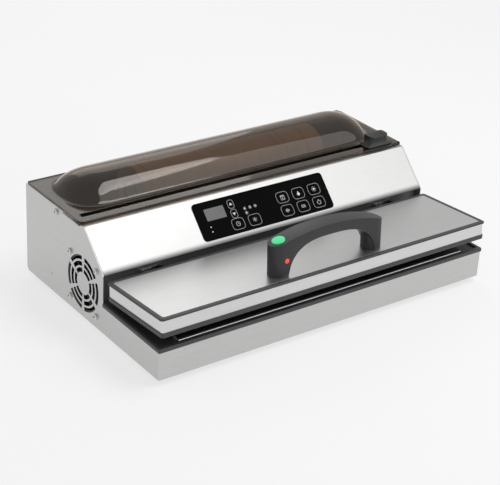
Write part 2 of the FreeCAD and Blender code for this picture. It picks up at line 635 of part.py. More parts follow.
def chamber_tray():
    """Dark moulding on the front box: rim on three sides, deck, suction channel and seats."""
    body = new_body("chamber_tray")
    inner_half = f"({INSIDE} - fit)"
    deck = (f"{DECK_TOP} - deck_thick", DECK_TOP)
    deck_front = f"({FRONT} + sheet + fit)"
    pad(body, "deck", "XY",
        lambda sk: polygon(sk, frame_corners(both_sides(inner_half), (deck_front, WALL_Y))), deck)
    out_x, out_y = f"({SIDE} + tray_overhang)", f"({FRONT} - tray_overhang)"
    in_x, in_y = f"({SIDE} + tray_overhang - rim_width)", f"({FRONT} - tray_overhang + rim_width)"
    rim = [(f"-{out_x}", SLOPE_FOOT_Y), (f"-{out_x}", out_y), (out_x, out_y), (out_x, SLOPE_FOOT_Y),
           (in_x, SLOPE_FOOT_Y), (in_x, in_y), (f"-{in_x}", in_y), (f"-{in_x}", SLOPE_FOOT_Y)]
    pad(body, "rim", "XY", lambda sk: polygon(sk, rim), (BASE_TOP, RIM_TOP))
    floor = f"({DECK_TOP} - channel_depth)"
    channel = both_sides("channel_half"), ("channel_front", "channel_back")
    pad(body, "channel_walls", "XY", lambda sk: polygon(sk, frame_corners(*inset(channel, "-tray_wall"))),
        (f"{floor} - tray_wall", deck[0]))
    pocket(body, "channel", "XY", lambda sk: rounded_box(sk, *channel, "gasket_corner / 2"),
           (floor, f"{DECK_TOP} + overrun"))
    seat = f"({DECK_TOP} - gasket_seat)"
    pocket(body, "gasket_groove", "XY", lambda sk: gasket_ring(sk, "fit"), (seat, f"{DECK_TOP} + overrun"))
    bar_x, bar_y = bar_extent("fit")
    pocket(body, "bar_seat_groove", "XY", lambda sk: polygon(sk, frame_corners(bar_x, bar_y)),
           (f"{DECK_TOP} - bar_seat", f"{DECK_TOP} + overrun"))
    pocket(body, "suction_hole", "XY",
           lambda sk: circle(sk, "pump_x", "port_y", "elbow_radius + running_fit"),
           (f"{floor} - tray_wall - overrun", f"{floor} + overrun"))
    soften(body, "rim_edge", "rim_round", lambda e: on_rim_edge(e, value(out_x), value(out_y)))
    node("chamber_tray", body)


def on_rim_edge(edge, out_x, out_y):
    """True for the upper and corner edges of the rim's outside."""
    at = middle(edge)
    outside = abs(abs(at.x) - out_x) < 0.01 or abs(at.y - out_y) < 0.01
    upper = abs(at.z - value(RIM_TOP)) < 0.01
    upright = runs_along(edge, Z_AXIS) and at.y < value(FRONT)
    return outside and (upper or upright) and at.y < value(SLOPE_FOOT_Y) - 0.01


def gasket_ring(sk, play):
    """Two round-cornered outlines, one inside the other, with the given play on each side."""
    outer = both_sides("gasket_half"), ("gasket_front", "gasket_back")
    rounded_box(sk, *inset(outer, f"-({play})"), f"gasket_corner + {play}")
    rounded_box(sk, *inset(outer, f"gasket_width + {play}"), f"gasket_corner - gasket_width - {play}")


def bar_extent(play):
    return inset((both_sides("bar_half"), about("bar_y", "bar_width")), f"-({play})")


def sealing_parts():
    """Lower gasket, and the sealing bar with its heating band and non-stick strip."""
    ring = prism("lower_ring", "XY", lambda sk: gasket_ring(sk, "0"),
                 (f"{DECK_TOP} - gasket_seat", f"{RIM_TOP} + gasket_stand"))
    node("chamber_gasket", rounded("lower_ring_soft", ring, "gasket_width / 4", lambda e: at_level(
        e, "Z", f"{RIM_TOP} + gasket_stand")))
    x, y = bar_extent("0")
    bar = block("bar", x, y, (f"{DECK_TOP} - bar_seat", BAR_TOP))
    node("seal_bar",
         rounded("bar_round", bar, "bar_edge",
                 lambda e: runs_along(e, X_AXIS) and middle(e).z > value(DECK_TOP)))
    band_top = f"({BAR_TOP} + band_thick)"
    node("heating_band", block("band", x, about("bar_y", "band_width"), (BAR_TOP, band_top)))
    node("nonstick_strip",
         block("strip", x, about("bar_y", "bar_width - strip_margin"),
               (band_top, f"{band_top} + strip_thick")))


HOSE_Z = f"({DECK_TOP} - channel_depth - tray_wall - elbow_drop)"
PUMP_Z = "(foot_height + pump_rise)"


def suction_port():
    """Elbow under the channel with a barb for the hose."""
    floor = f"({DECK_TOP} - channel_depth)"
    upright = rod("port_upright", "Z", "elbow_radius", ("pump_x", "port_y"),
                  (f"{HOSE_Z} - elbow_radius", floor))
    knee = rod("port_knee", "Y", "elbow_radius", ("pump_x", HOSE_Z),
               ("port_y", "port_y + elbow_radius + elbow_collar"))
    barb = rod("port_barb", "Y", "barb_radius", ("pump_x", HOSE_Z),
               ("port_y", "port_y + elbow_radius + barb_length"))
    bore = rod("port_bore", "Z", "hose_bore", ("pump_x", "port_y"), (HOSE_Z, f"{floor} + overrun"))
    run = rod("port_run", "Y", "barb_radius - barb_wall", ("pump_x", HOSE_Z),
              ("port_y", "port_y + elbow_radius + barb_length + overrun"))
    node("suction_port", cut("port", fuse("port_solid", upright, knee, barb), bore, run))


def suction_hose():
    """Tube from the port up to the pump, with two equal bends."""
    start, end = value("port_y + elbow_radius + elbow_collar"), value("pump_y - pump_depth / 2 - head_thick")
    low, high = value(HOSE_Z), value(PUMP_Z)
    bend, x = value("hose_bend"), value("pump_x")
    turn = math.radians(45)
    run, rise = bend * math.sin(turn), bend * (1 - math.cos(turn))
    slant = (high - low) - 2 * rise
    first = end - value("barb_length") - 2 * run - slant

    def at(y, z):
        return FreeCAD.Vector(x, y, z)

    half = turn / 2
    low_mid = at(first + bend * math.sin(half), low + bend * (1 - math.cos(half)))
    knee = at(first + run, low + rise)
    shoulder = at(first + run + slant, high - rise)
    last = first + 2 * run + slant
    high_mid = at(last - bend * math.sin(half), high - bend * (1 - math.cos(half)))
    path = Part.Wire([Part.LineSegment(at(start, low), at(first, low)).toShape(),
                      Part.Arc(at(first, low), low_mid, knee).toShape(),
                      Part.LineSegment(knee, shoulder).toShape(),
                      Part.Arc(shoulder, high_mid, at(last, high)).toShape(),
                      Part.LineSegment(at(last, high), at(end, high)).toShape()])
    tubes = []
    for radius in ("hose_radius", "hose_bore"):
        ring = Part.Wire([Part.makeCircle(value(radius), at(start, low), FreeCAD.Vector(0, 1, 0))])
        tubes.append(path.makePipeShell([ring], True, False))
    thing = doc.addObject("Part::Feature", "hose")
    thing.Shape = tubes[0].cut(tubes[1])
    node("suction_hose", thing)


def ajar(thing):
    """Swings a lid piece, drawn closed, open by the angle at which the lid rests."""
    y = f"{HINGE_Y} - {HINGE_Y} * cos(lid_ajar * 1 deg) - {HINGE_Z} * sin(lid_ajar * 1 deg)"
    z = f"{HINGE_Z} + {HINGE_Y} * sin(lid_ajar * 1 deg) - {HINGE_Z} * cos(lid_ajar * 1 deg)"
    return place(thing, "0", y, z, X_AXIS, "-lid_ajar")


def lid_extent(margin):
    return inset((both_sides(LID_SIDE), (LID_FRONT, LID_BACK)), margin)


def lid_ring(margin):
    """Draws the lid's outline drawn in by a margin."""
    return lambda sk: rounded_box(sk, *lid_extent(margin), f"lid_corner - ({margin}) * 0.5")


def lid_top():
    """Top plate and the frame that holds it."""
    body = new_body("lid_frame")
    lip = (f"{LID_TOP} - frame_lip", LID_TOP)
    seat = f"({LID_TOP} - lid_sheet - fit)"
    pad(body, "frame_lip_outline", "XY", lid_ring("0"), lip)
    opening = lid_extent("frame_border")
    pocket(body, "frame_seat", "XY", lambda sk: rounded_box(sk, *opening, "lid_corner - corner_step"),
           (seat, f"{LID_TOP} + overrun"))
    pocket(body, "frame_opening", "XY", lambda sk: rounded_box(
        sk, *lid_extent("frame_border + frame_ledge"), "lid_corner - corner_step"),
        (f"{lip[0]} - overrun", f"{LID_TOP} + overrun"))
    soften(body, "frame_edge", "frame_round",
           lambda e: at_level(e, "Z", LID_TOP) and outermost(e, "frame_border / 2"))
    node("lid_frame", ajar(body))
    body = new_body("lid_plate")
    pad(body, "plate_sheet", "XY", lambda sk: rounded_box(
        sk, *lid_extent("frame_border + plate_gap"), "lid_corner - corner_step - plate_gap"),
        (seat, f"{seat} + lid_sheet"))
    pocket(body, "plate_holes", "XY",
           lambda sk: [circle(sk, x, HANDLE_Y, "screw_hole") for x in both_sides("post_x")],
           (f"{seat} - overrun", f"{LID_TOP} + overrun"))
    node("lid_plate", ajar(body))


def outermost(edge, margin):
    """True for an edge near the lid's outline."""
    at, room = middle(edge), value(margin)
    return (abs(at.x) > value(LID_SIDE) - room or at.y < value(LID_FRONT) + room
            or at.y > value(LID_BACK) - room)


def lid_sides():
    """Steel band round the lid and the dark shell under it."""
    band = (f"{LID_BOTTOM} + lid_rim", f"{LID_TOP} - frame_lip")
    body = new_body("lid_band")
    pad(body, "band_outside", "XY", lid_ring("band_inset"), band)
    pocket(body, "band_inside", "XY", lid_ring("band_inset + lid_sheet"),
           (f"{band[0]} - overrun", f"{band[1]} + overrun"))
    node("lid_band", ajar(body))
    body = new_body("lid_shell")
    core = "band_inset + lid_sheet + fit"
    pad(body, "shell_rim", "XY", lid_ring("rim_inset"), (LID_BOTTOM, band[0]))
    soften(body, "shell_rim_edge", "rim_round", lambda e: at_level(e, "Z", LID_BOTTOM))
    pad(body, "shell_core", "XY", lid_ring(core), band)
    pocket(body, "shell_hollow", "XY", lid_ring(f"{core} + shell_wall"),
           (f"{LID_BOTTOM} + shell_floor", f"{band[1]} + overrun"))
    pocket(body, "shell_gasket_groove", "XY", lambda sk: gasket_ring(sk, "fit"),
           (f"{LID_BOTTOM} - overrun", f"{LID_BOTTOM} + gasket_seat"))
    pocket(body, "shell_press_groove", "XY", lambda sk: polygon(sk, frame_corners(*press_extent("fit"))),
           (f"{LID_BOTTOM} - overrun", f"{LID_BOTTOM} + strip_seat"))
    node("lid_shell", ajar(body))


def press_extent(play):
    return inset((both_sides("bar_half"), about("bar_y", "press_width")), f"-({play})")


def lid_seals():
    """Upper gasket and the silicone strip that presses on the sealing bar."""
    low = f"({RIM_TOP} + gasket_stand + soft_gap)"
    ring = prism("upper_ring", "XY", lambda sk: gasket_ring(sk, "0"), (low, f"{LID_BOTTOM} + gasket_seat"))
    node("lid_gasket",
         ajar(rounded("upper_ring_soft", ring, "gasket_width / 4", lambda e: at_level(e, "Z", low))))
    foot = f"({BAR_TOP} + band_thick + strip_thick + soft_gap)"
    strip = block("press", *press_extent("0"), (foot, f"{LID_BOTTOM} + strip_seat"))
    node("press_strip",
         ajar(rounded("press_round", strip, "press_width / 4", lambda e: at_level(e, "Z", foot)
                                     and runs_along(e, X_AXIS))))


def eye(name, x, reach_y, low, high):
    """A lug with a round end about the hinge axis that reaches to a face in Y."""
    ring = rod(name + "_ring", "X", "eye_radius", (HINGE_Y, HINGE_Z), x)
    y = (reach_y, HINGE_Y) if value(reach_y) < value(HINGE_Y) else (HINGE_Y, reach_y)
    web = block(name + "_web", x, y, (low, high))
    bore = rod(name + "_bore", "X", "pin_radius + running_fit", (HINGE_Y, HINGE_Z),
               (f"{x[0]} - overrun", f"{x[1]} + overrun"))
    return cut(name, fuse(name + "_solid", ring, web), bore)


def lid_hinges():
    """Arms on the lid, brackets on the wall, pins and springs between them, on both sides."""
    low, high = f"({HINGE_Z} - eye_radius)", f"({HINGE_Z} + eye_radius)"
    arms, brackets, pins, springs = [], [], [], []
    arm_face = f"({LID_BACK} - band_inset)"
    for side, sign in (("left", "-"), ("right", "")):
        centre = f"({sign}hinge_x)"
        arm = about(centre, "arm_width")
        arms.append(eye(f"arm_{side}", arm, arm_face, low, high))
        near = (f"{arm[0]} - side_gap - cheek_thick", f"{arm[0]} - side_gap")
        far = (f"{arm[1]} + spring_room", f"{arm[1]} + spring_room + cheek_thick")
        cheeks = [eye(f"cheek_{side}_{i}", x, WALL_Y, low, high) for i, x in enumerate((near, far))]
        back = block(f"bracket_{side}_back", (near[0], far[1]), (f"{WALL_Y} - sheet", WALL_Y), (low, high))
        brackets.append(fuse(f"bracket_{side}", *cheeks, back))
        pins.append(rod(f"pin_{side}", "X", "pin_radius", (HINGE_Y, HINGE_Z),
                        (f"{near[0]} - overrun", f"{far[1]} + overrun")))
        springs.append(torsion_spring(f"spring_{side}", f"{arm[1]} + spring_gap"))
    arms_thing = group("hinge_arms", arms)
    ajar(arms_thing)
    group("hinge_brackets", brackets)
    group("hinge_pins", pins)
    group("lid_springs", springs)


def torsion_spring(name, start):
    """Coil about the hinge pin with one leg up the wall and one leg towards the lid."""
    radius, wire = value("spring_radius"), value("spring_wire")
    pitch, turns = value("spring_pitch"), int(value("spring_turns"))
    x0, y0, z0 = value(start), value(HINGE_Y), value(HINGE_Z)

    def on_coil(angle):
        return FreeCAD.Vector(x0 + pitch * angle / (2 * math.pi), y0 + radius * math.cos(angle),
                              z0 + radius * math.sin(angle))

    quarter = math.pi / 2
    edges = []
    for i in range(4 * turns):
        edges.append(Part.Arc(on_coil(i * quarter), on_coil((i + 0.5) * quarter),
                              on_coil((i + 1) * quarter)).toShape())
    leg = FreeCAD.Vector(0, 0, -radius)
    edges.insert(0, Part.LineSegment(on_coil(0) + leg, on_coil(0)).toShape())
    edges.append(Part.LineSegment(on_coil(2 * math.pi * turns),
                                  on_coil(2 * math.pi * turns) - leg).toShape())
    path = Part.Wire(edges)
    ring = Part.Wire([Part.makeCircle(wire / 2, on_coil(0) + leg, FreeCAD.Vector(0, 0, 1))])
    thing = doc.addObject("Part::Feature", name)
    thing.Shape = path.makePipeShell([ring], True, False)
    print(name, "least gap between turns", round(pitch - wire, 2))
    return thing


def arched(sk, foot_half, half, low, shoulder, crown):
    """An outline with a flat foot, straight sides and an arc over the top."""
    rise = f"(({crown}) - ({shoulder}))"
    radius = f"((({half}) * ({half}) + {rise} * {rise}) / (2 * {rise}))"
    corners = [(f"-({half})", shoulder), (f"-({foot_half})", low), (foot_half, low), (half, shoulder)]
    for i in range(3):
        sk.addGeometry(Part.LineSegment(point(*corners[i]), point(*corners[i + 1])))
    for i in range(2):
        sk.addConstraint(Sketcher.Constraint("Coincident", i, 2, i + 1, 1))
    for i in range(3):
        pin(sk, i, 1, *corners[i])
    pin(sk, 2, 2, *corners[3])
    top = sk.addGeometry(Part.Arc(point(*corners[3]), point("0", crown), point(*corners[0])))
    sk.addConstraint(Sketcher.Constraint("Coincident", top, 1, 2, 2))
    sk.addConstraint(Sketcher.Constraint("Coincident", top, 2, 0, 1))
    tie_radius(sk, top, radius)


HANDLE_HALF = "(post_x + handle_depth / 2)"
CROWN_RISE = "(handle_crown - handle_end)"
CROWN_RADIUS = f"(({HANDLE_HALF} * {HANDLE_HALF} + {CROWN_RISE} * {CROWN_RISE}) / (2 * {CROWN_RISE}))"
BUTTON_TILT = f"asin(post_x / {CROWN_RADIUS})"
BUTTON_Z = (f"({LID_TOP} + handle_crown - {CROWN_RADIUS}"
            f" + sqrt({CROWN_RADIUS} * {CROWN_RADIUS} - post_x * post_x))")


def at_button(thing, rise):
    """Puts a piece on the button's axis, which stands square to the handle's top."""
    lean = f"({rise})"
    return place(thing, f"-post_x - {lean} * sin({BUTTON_TILT})", HANDLE_Y,
                 f"{BUTTON_Z} + {lean} * cos({BUTTON_TILT})",
                 Y_AXIS, f"-{BUTTON_TILT}")


def button_rod(name, radius, low, high):
    return at_button(rod(name, "Z", radius, ("0", "0"), (low, high)), low)


def handle():
    """Arched bar on two round posts, with the button's well and the lamp's bore."""
    y = about(HANDLE_Y, "handle_depth")
    base = LID_TOP

    def up(height):
        return f"({base} + {height})"

    arch = prism("handle_face", "XZ",
                 lambda sk: arched(sk, HANDLE_HALF, HANDLE_HALF, base, up("handle_end"),
                                                        up("handle_crown")), y)
    plan = prism("handle_plan", "XY",
                 lambda sk: rounded_box(sk, both_sides(HANDLE_HALF), y, "handle_depth / 2.002"),
                 (f"{base} - overrun", up("handle_crown + overrun")))
    hull = common("handle_hull", arch, plan)
    hull = rounded("handle_edges", hull, "handle_round", lambda e: middle(e).z > value(up("handle_end - 4"))
                   and not runs_along(e, Z_AXIS))
    gap = prism("handle_arch", "XZ", lambda sk: arched(sk, "post_x", "arch_shoulder", f"{base} - overrun",
                                                       up("arch_shoulder_height"), up("arch_height")),
                (f"{y[0]} - overrun", f"{y[1]} + overrun"))
    gap = rounded("handle_arch_round", gap, "arch_round", lambda e: runs_along(e, Y_AXIS)
                  and middle(e).z > value(up("arch_shoulder_height - 2")))
    posts = [rod(f"handle_post_{i}", "Z", "handle_depth / 2", (x, HANDLE_Y),
                 (f"{base} - 2", up("handle_end")))
             for i, x in enumerate(both_sides("post_x"))]
    bar = cut("handle_bar", hull, cut("handle_gap", gap, *posts))
    well = button_rod("button_well_bore", "button_radius + button_gap", "-button_well", "well_clear")
    room = button_rod("switch_room", "switch_size * 0.75", "-button_well - switch_height", "0")
    lamp = rod("lamp_bore", "Y", "lamp_radius", ("lamp_x", up("lamp_height")),
               (f"{y[0]} - overrun", lamp_end()))
    pilots = [rod(f"pilot_{i}", "Z", "screw_radius", (x, HANDLE_Y),
                  (f"{base} - overrun", up("pilot_depth")))
              for i, x in enumerate(both_sides("post_x"))]
    node("handle", ajar(cut("handle_made", bar, well, room, lamp, *pilots)))
    lens = rounded("lamp_lens", rod("lamp_body", "Y", "lamp_radius", ("lamp_x", up("lamp_height")),
                                    (f"{lamp_face()} - lamp_stand", lamp_end())), "lamp_radius * 0.6",
                   lambda e: at_level(e, "Y", f"{lamp_face()} - lamp_stand"))
    node("seal_lamp", ajar(lens))
    seat = f"({LID_TOP} - lid_sheet - fit)"
    screws = [pan_screw(f"handle_screw_{i}", "Z", (x, HANDLE_Y), seat, -1)
              for i, x in enumerate(both_sides("post_x"))]
    ajar(group("handle_screws", screws))


def lamp_face():
    """Front of the round post at the lamp."""
    reach = "(handle_depth / 2)"
    return f"({HANDLE_Y} - sqrt({reach} * {reach} - (lamp_x + post_x) * (lamp_x + post_x)))"


def lamp_end():
    return f"({lamp_face()} + lamp_length)"


def start_button():
    """Button cap with a stem, and the switch under it."""
    cap = button_rod("button_cap", "button_radius", "button_stand - button_height", "button_stand")
    cap = rounded("button_dome", cap, "button_round",
                  lambda e: e.BoundBox.ZMax > value(BUTTON_Z) and e.Length > 20
                  and middle(e).z > value(BUTTON_Z) - 3)
    stem_end = "-button_well + button_travel + soft_gap"
    stem = button_rod("button_stem", "stem_radius", stem_end, "button_stand - button_height + overrun")
    node("start_button", ajar(fuse("button_made", cap, stem)))
    switch = block("switch_body", about("0", "switch_size"), about("0", "switch_size"),
                   ("0", "switch_height - tip_height"))
    tip = rod("switch_tip", "Z", "stem_radius", ("0", "0"), ("0", "switch_height"))
    seated = doc.addObject("Part::Compound", "switch_seated")
    seated.Links = [at_button(fuse("switch_made", switch, tip), "-button_well - switch_height")]
    node("start_switch", ajar(seated))


def dome(name, margin, low, crown):
    """Long bubble: a straight arched run closed by two ends that draw in and down."""
    deep = f"(dome_depth / 2 - {margin})"
    straight = "(dome_half - dome_end)"
    reach = f"(dome_end - {margin})"
    runs = [prism(name + "_run", "YZ", lambda sk: dome_arch(sk, deep, low, crown), both_sides(straight))]
    steps = 5
    for side, sign in (("left", "-"), ("right", "")):
        sections = []
        for step in range(steps + 1):
            along = 0.999 * math.sin(step / steps * math.pi / 2)
            half = f"({deep} * {(1 - along ** 3) ** (1 / 3):.4f})"
            tall = f"({COVER_TOP} + ({crown} - {COVER_TOP}) * {math.sqrt(1 - along ** 2):.4f})"
            sk = doc.addObject("Sketcher::SketchObject", f"{name}_{side}_{step}")
            sk.Placement = FreeCAD.Placement(FreeCAD.Vector(), PLANES["YZ"][0])
            bind(sk, "Placement.Base.x", f"{sign}({straight} + {reach} * {along:.4f})")
            dome_arch(sk, half, low, tall)
            sections.append(sk)
        end = doc.addObject("Part::Loft", f"{name}_{side}")
        end.Sections = sections
        end.Solid = True
        runs.append(end)
    return fuse(name, *runs)


def dome_arch(sk, half, low, crown):
    """Cross-section of the bubble about its middle line."""
    bind(sk, "Placement.Base.y", "dome_y")
    arched(sk, half, half, low, COVER_TOP, crown)


def knuckle_spans(play):
    return [about(x, f"knuckle_length + 2 * ({play})") for x in both_sides("knuckle_x")]


def roll_cover():
    """Smoked plate with a hinge bead at the back, a bubble over the roll and the cutter's slot."""
    plate = prism("cover_plate", "XY", lambda sk: polygon(sk, frame_corners(
        both_sides("cover_half"), ("cover_front", "cover_axis_y"))), (COVER_BOTTOM, COVER_TOP))
    plate = rounded("cover_corners", plate, "cover_corner",
                    lambda e: runs_along(e, Z_AXIS) and middle(e).y < value("dome_y"))
    bead = rod("cover_bead", "X", "bead_radius", ("cover_axis_y", COVER_AXIS_Z),
               both_sides(f"{INSIDE} - end_gap"))
    top = f"({COVER_TOP} + dome_height)"
    solid = fuse("cover_solid", plate, bead, dome("dome_outside", "0", f"{COVER_BOTTOM} + dome_root", top))
    inside = dome("dome_inside", "dome_wall", f"{COVER_BOTTOM} - overrun", f"{top} - dome_wall")
    slot = prism("cover_slot", "XY", lambda sk: rounded_box(
        sk, both_sides("slot_half"), about("slot_y", "slot_gap"), "slot_gap / 2.002"),
        (f"{COVER_BOTTOM} - overrun", f"{COVER_TOP} + overrun"))
    bore = rod("cover_bore", "X", "rod_radius + running_fit", ("cover_axis_y", COVER_AXIS_Z),
               both_sides(SIDE))
    notches = [block(f"cover_notch_{i}", x,
                     ("cover_axis_y - bead_radius - knuckle_gap", "cover_axis_y + bead_radius + overrun"),
                     (f"{COVER_AXIS_Z} - bead_radius - overrun", f"{COVER_TOP} + overrun"))
               for i, x in enumerate(knuckle_spans("side_gap"))]
    node("roll_cover", cut("cover_made", solid, inside, slot, bore, *notches))


RAIL_BOTTOM = f"({COVER_BOTTOM} - rail_height)"


def cutter_rail():
    """Channel under the slot: open to the slot above, with a slit for the blade below."""
    y = about("slot_y", "rail_width")
    rail = block("rail", both_sides("slot_half + rail_wall"), y, (RAIL_BOTTOM, COVER_BOTTOM))
    room = block("rail_room", both_sides("slot_half"), about("slot_y", "rail_width - 2 * rail_wall"),
                 (f"{RAIL_BOTTOM} + rail_wall", f"{COVER_BOTTOM} + overrun"))
    slit = block("rail_slit_cut", both_sides("slot_half"), about("slot_y", "rail_slit"),
                 (f"{RAIL_BOTTOM} - overrun", f"{RAIL_BOTTOM} + rail_wall + overrun"))
    node("cutter_rail", cut("rail_made", rail, room, slit))


def cutter():
    """Knob on a flat slide, a neck through the slot, a foot in the rail and the blade under it."""
    slide_top = f"({COVER_TOP} + slide_gap + slide_thick)"
    slide = block("slide", about("knob_x", "slide_length"), ("slide_front", "slide_back"),
                  (f"{COVER_TOP} + slide_gap", slide_top))
    slide = rounded("slide_corners", slide, "cover_corner", lambda e: runs_along(e, Z_AXIS))
    top = f"({COVER_TOP} + knob_height)"
    grip = block("grip", about("knob_x", "knob_length"), about("knob_y", "knob_width"),
                 (f"{slide_top} - 0.5", top))
    grip = rounded("grip_corners", grip, "knob_round * 2", lambda e: runs_along(e, Z_AXIS))
    saddle = rod("grip_saddle", "Y", "knob_saddle", ("knob_x", f"{top} + knob_saddle - knob_dip"),
                 ("slide_front - 5", "slide_back + 9"))
    grip = rounded("grip_edges", cut("grip_cut", grip, saddle), "knob_round / 3",
                   lambda e: middle(e).z > value(top) - 3 and not runs_along(e, Z_AXIS))
    neck = block("neck", about("knob_x", "blade_length"), about("slot_y", "slot_gap - 2 * slide_gap"),
                 (f"{COVER_BOTTOM} - overrun", slide_top))
    foot = block("foot_in_rail", about("knob_x", "blade_length + shoe_extra"),
                 about("slot_y", "rail_width - 2 * rail_wall - 2 * slide_gap"),
                 (f"{RAIL_BOTTOM} + rail_wall + slide_gap", f"{COVER_BOTTOM} - slide_gap"))
    blade_y = about("slot_y", "blade_sheet")
    pinch = block("blade_slot", about("knob_x", "blade_length"), blade_y,
                  (f"{RAIL_BOTTOM} - overrun", f"{COVER_BOTTOM} - slide_gap - overrun"))
    node("cutter_knob", cut("knob_made", fuse("knob_solid", slide, grip, neck, foot), pinch))
    low, high = f"({RAIL_BOTTOM} - blade_drop)", f"({COVER_BOTTOM} - slide_gap - 1)"
    edge = "(blade_length / 2)"
    blade = prism("blade", "XZ", lambda sk: polygon(sk, [
        (f"knob_x - {edge}", high), ("knob_x", low), (f"knob_x + {edge}", high)]), blade_y)
    node("cutter_blade", blade)


def roll_trough():
    """Black trough for the roll with a land in front that takes the cutter's rail, and hinge knuckles."""
    body = new_body("roll_trough")
    flange = f"({CASE_TOP} - trough_wall)"
    flange_front = f"({SLOPE_TOP_Y} + strip_depth + soft_gap)"
    flange_back = "(cover_axis_y - bead_radius - flange_gap)"
    outer = "(trough_radius + trough_wall)"
    pad(body, "land", "YZ",
        lambda sk: polygon(sk, frame_corners((flange_front, flange_back), (flange, CASE_TOP))),
        both_sides(f"{INSIDE} - fit"))
    groove_y, groove_low = about("slot_y", "groove_width"), f"({CASE_TOP} - groove_depth)"
    wall_half = "(trough_half + trough_wall)"
    pad(body, "groove_walls", "YZ", lambda sk: polygon(sk, frame_corners(
        about("slot_y", "groove_width + 2 * trough_wall"), (f"{groove_low} - trough_wall", flange))),
        both_sides("slot_half + rail_wall + groove_gap + trough_wall"))
    pad(body, "belly", "YZ", lambda sk: belly(sk, outer, flange), both_sides(wall_half))
    pad(body, "screw_bosses", "YZ",
        lambda sk: circle(sk, "boss_y", "foot_height + boss_rise", "boss_radius"),
        both_sides(INSIDE))
    pocket(body, "hollow", "YZ", lambda sk: belly(sk, "trough_radius", f"{CASE_TOP} + overrun"),
           both_sides("trough_half"))
    pocket(body, "groove", "YZ",
           lambda sk: polygon(sk, frame_corners(groove_y, (groove_low, f"{CASE_TOP} + overrun"))),
           both_sides("slot_half + rail_wall + groove_gap"))
    pocket(body, "boss_holes", "YZ",
           lambda sk: circle(sk, "boss_y", "foot_height + boss_rise", "screw_radius"),
           both_sides(f"{SIDE} + overrun"))
    for i, x in enumerate(knuckle_spans("0")):
        pad(body, f"knuckle_leg_{i}", "YZ", lambda sk: polygon(sk, frame_corners(
            (f"{flange_back} - overrun", "cover_axis_y"), (flange, f"{COVER_AXIS_Z} - rod_radius"))), x)
        pad(body, f"knuckle_{i}", "YZ", lambda sk: circle(sk, "cover_axis_y", COVER_AXIS_Z, "bead_radius"),
            x)
    pocket(body, "knuckle_bores", "YZ",
           lambda sk: circle(sk, "cover_axis_y", COVER_AXIS_Z, "rod_radius + running_fit"),
           both_sides(INSIDE))
    node("roll_trough", body)
    node("cover_hinge_rod",
         rod("hinge_rod", "X", "rod_radius", ("cover_axis_y", COVER_AXIS_Z),
             both_sides(f"{INSIDE} - end_gap")))
    screws = [pan_screw(f"trough_screw_{i}", "X", ("boss_y", "foot_height + boss_rise"), seat, sign)
              for i, (seat, sign) in enumerate(((f"-{SIDE}", -1), (SIDE, 1)))]
    group("trough_screws", screws)


def belly(sk, radius, top):
    """Half-round trough with upright walls, about the roll's line."""
    left, right = f"(dome_y - {radius})", f"(dome_y + {radius})"
    corners = [(left, TROUGH_Z), (left, top), (right, top), (right, TROUGH_Z)]
    for i in range(3):
        sk.addGeometry(Part.LineSegment(point(*corners[i]), point(*corners[i + 1])))
    for i in range(2):
        sk.addConstraint(Sketcher.Constraint("Coincident", i, 2, i + 1, 1))
    for i in range(3):
        pin(sk, i, 1, *corners[i])
    pin(sk, 2, 2, *corners[3])
    bowl = sk.addGeometry(Part.Arc(point(*corners[0]), point("dome_y", f"{TROUGH_Z} - {radius}"),
                                   point(*corners[3])))
    sk.addConstraint(Sketcher.Constraint("Coincident", bowl, 1, 0, 1))
    sk.addConstraint(Sketcher.Constraint("Coincident", bowl, 2, 2, 2))
    at = sk.addConstraint(Sketcher.Constraint("DistanceY", -1, 1, bowl, 3, value(TROUGH_Z)))
    bind(sk, f"Constraints[{at}]", TROUGH_Z)


def film_roll():
    ends, axis = ("roll_left", "roll_right"), ("dome_y", ROLL_Z)
    past = ("roll_left - overrun", "roll_right + overrun")
    node("film_roll", cut("film", rod("film_outside", "X", "roll_radius", axis, ends),
                          rod("film_bore", "X", "core_radius", axis, past)))
    node("roll_core", cut("core", rod("core_outside", "X", "core_radius", axis, ends),
                          rod("core_bore", "X", "core_radius - core_wall", axis, past)))


